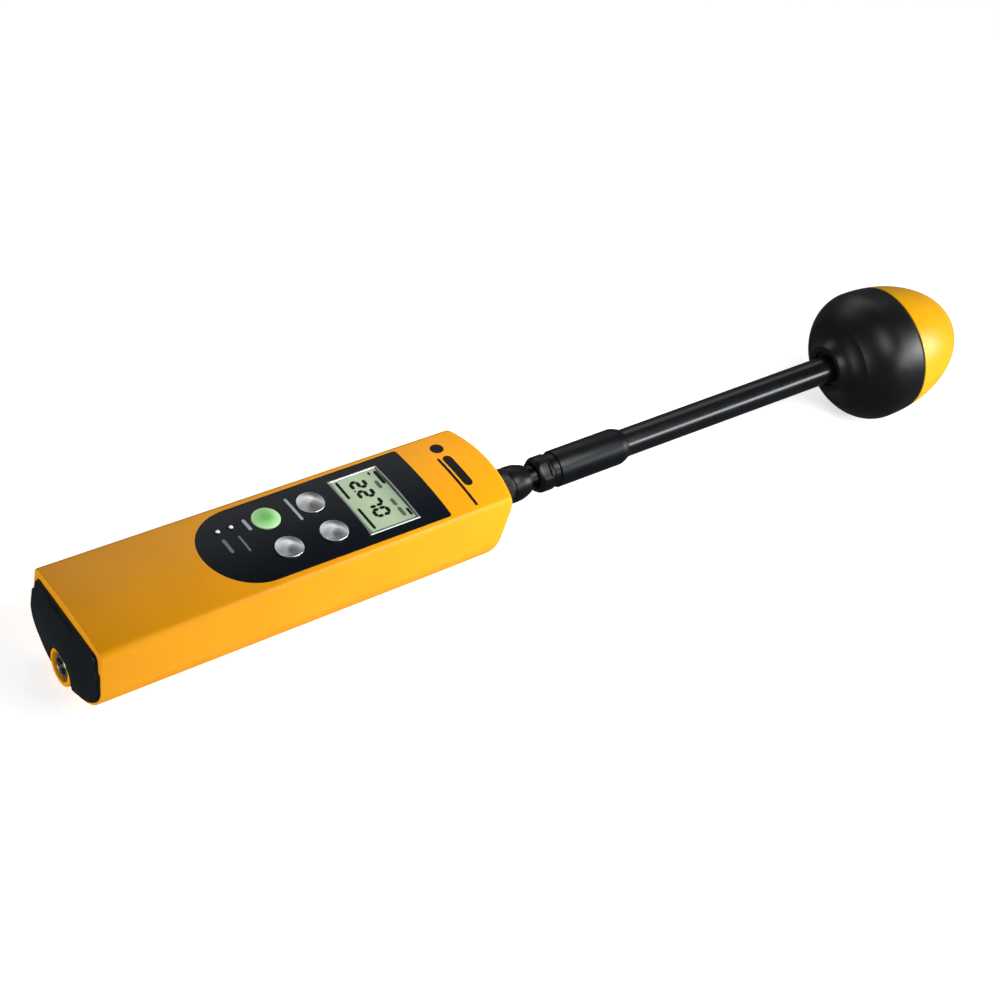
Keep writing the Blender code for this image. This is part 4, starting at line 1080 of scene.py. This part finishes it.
def make_cells():
    """Two AA cells, head to tail, each a printed jacket round a metal core."""
    for name, ahead in (("cell_1", 1), ("cell_2", -1)):
        low, high = extent(name)
        spot = middle(name)
        radius, length = (high.y - low.y) / 2, high.x - low.x
        spot.x = low.x if ahead > 0 else high.x
        turn = ALONG if ahead > 0 else Matrix.Rotation(-pi / 2, 4, "Y")
        jacket = softened([(length - 2.0, 5.0, 0.2), (length - 1.4, radius, 0.5), (0.6, radius, 0.5),
                           (0.2, 5.2, 0.2)], closed=True)
        dress(solid(name + "_jacket", turned(jacket, ring=True), spot, turn), "jacket", "cell_jacket",
              name)
        core = softened([(length, 0, 0), (length, 2.6, 0.3), (length - 1.3, 2.6, 0.1),
                         (length - 1.4, 5.0, 0.1), (length - 1.9, 4.9, 0), (0.1, 5.1, 0),
                         (0.0, 5.1, 0.1), (0.0, 0, 0)])
        dress(solid(name + "_ends", turned(core), spot, turn), "nickel", "nickel_plate")


CARRIED = {
    "rubber": ["dome_seal"],
    "silicone": ["dome_switch_sheet"],
    "white": ["display_backlight", "dipole_carrier"],
    "board": ["key_board", "main_board", "preamplifier", "dipole_1", "dipole_2", "dipole_3"],
    "chip": ["processor", "converter", "buzzer", "sensor_line"],
    "tinplate": ["shield_can"],
    "steel": ["contact_spring_1", "contact_spring_2"],
    "nickel": ["connector_nut", "contact_negative", "contact_positive", "contact_bridge"],
    "black": ["battery_tray", "connector_insert"],
}


def dress_carried_nodes():
    for look, names in CARRIED.items():
        for name in names:
            slots = frame["nodes"][name].data.materials
            slots.clear()
            slots.append(LOOKS[look])


# ---- Stage ----


def stage_piece(name, bm, roughness, tints, emission, specular=0.5):
    """A part of the surroundings in a pale material of its own."""
    made, tree, shader = new_material("pale_" + name, roughness, specular=specular, emission=emission)
    tint(tree, shader, noise(tree, 1.5, 1.0), tints)
    mesh = bpy.data.meshes.new(name)
    bm.to_mesh(mesh)
    bm.free()
    mesh.materials.append(made)
    piece = bpy.data.objects.new(name, mesh)
    bpy.context.scene.collection.objects.link(piece)
    return piece


def make_surroundings():
    """A pale floor, and a pale wall all round that only the camera sees."""
    bm = bmesh.new()
    bmesh.ops.create_grid(bm, x_segments=4, y_segments=4, size=FLOOR_HALF)
    floor = stage_piece("floor", bm, 0.32, [(0.84, 0.85, 0.86), (0.88, 0.88, 0.88)],
                        (0.98, 1.0, 1.0, 0.66), specular=0.35)
    floor.visible_glossy = False
    bm = turned([(WALL_FOOT, WALL_RADIUS), (WALL_TOP, WALL_RADIUS), (WALL_TOP, 0.0)], 96)
    wall = stage_piece("backdrop", bm, 0.9, [(0.8, 0.81, 0.82), (0.83, 0.84, 0.85)],
                       (0.97, 0.98, 1.0, 0.8))
    wall.visible_diffuse = wall.visible_glossy = wall.visible_shadow = False


def aimed(obj, spot, aim, roll=0.0):
    """Put a lamp or camera at a place, looking at another, turned about its line of sight."""
    sight = (Vector(aim) - Vector(spot)).to_track_quat("-Z", "Y").to_matrix().to_4x4()
    obj.matrix_world = Matrix.Translation(spot) @ sight @ Matrix.Rotation(radians(roll), 4, "Z")
    bpy.context.scene.collection.objects.link(obj)


def softbox(name, spot, aim, size, power, spread=180.0):
    light = bpy.data.lights.new(name, "AREA")
    light.shape = "RECTANGLE"
    light.size, light.size_y = size
    light.energy = power
    light.spread = radians(spread)
    lamp = bpy.data.objects.new(name, light)
    lamp.visible_camera = False
    aimed(lamp, spot, aim)


def make_stage():
    make_surroundings()
    world = bpy.data.worlds.new("studio")
    world.use_nodes = True
    sky = world.node_tree.nodes["Background"].inputs
    sky["Color"].default_value, sky["Strength"].default_value = SKY_COLOUR, SKY_STRENGTH
    bpy.context.scene.world = world
    for name, values in SOFTBOXES.items():
        softbox(name, *values)
    camera = bpy.data.cameras.new("camera")
    camera.lens, camera.sensor_width = CAMERA_LENS, CAMERA_SENSOR
    holder = bpy.data.objects.new("camera", camera)
    aimed(holder, CAMERA_SPOT, CAMERA_AIM, CAMERA_ROLL)
    bpy.context.scene.camera = holder
    bpy.context.scene.view_settings.view_transform = "Standard"


make_stage()
shared_cutters = make_shared_cutters()
make_upper_housing(shared_cutters)
make_lower_housing(shared_cutters)
make_door()
make_film(shared_cutters)
make_end_cap()
make_charging_socket()
make_screws()
make_tripod_bush()
make_print()
make_keys()
make_lamps()
make_bezel()
make_display()
make_connector()
make_plug()
make_sleeve()
make_collar()
make_handle()
make_ball()
make_cells()
dress_carried_nodes()
clear_cutters()
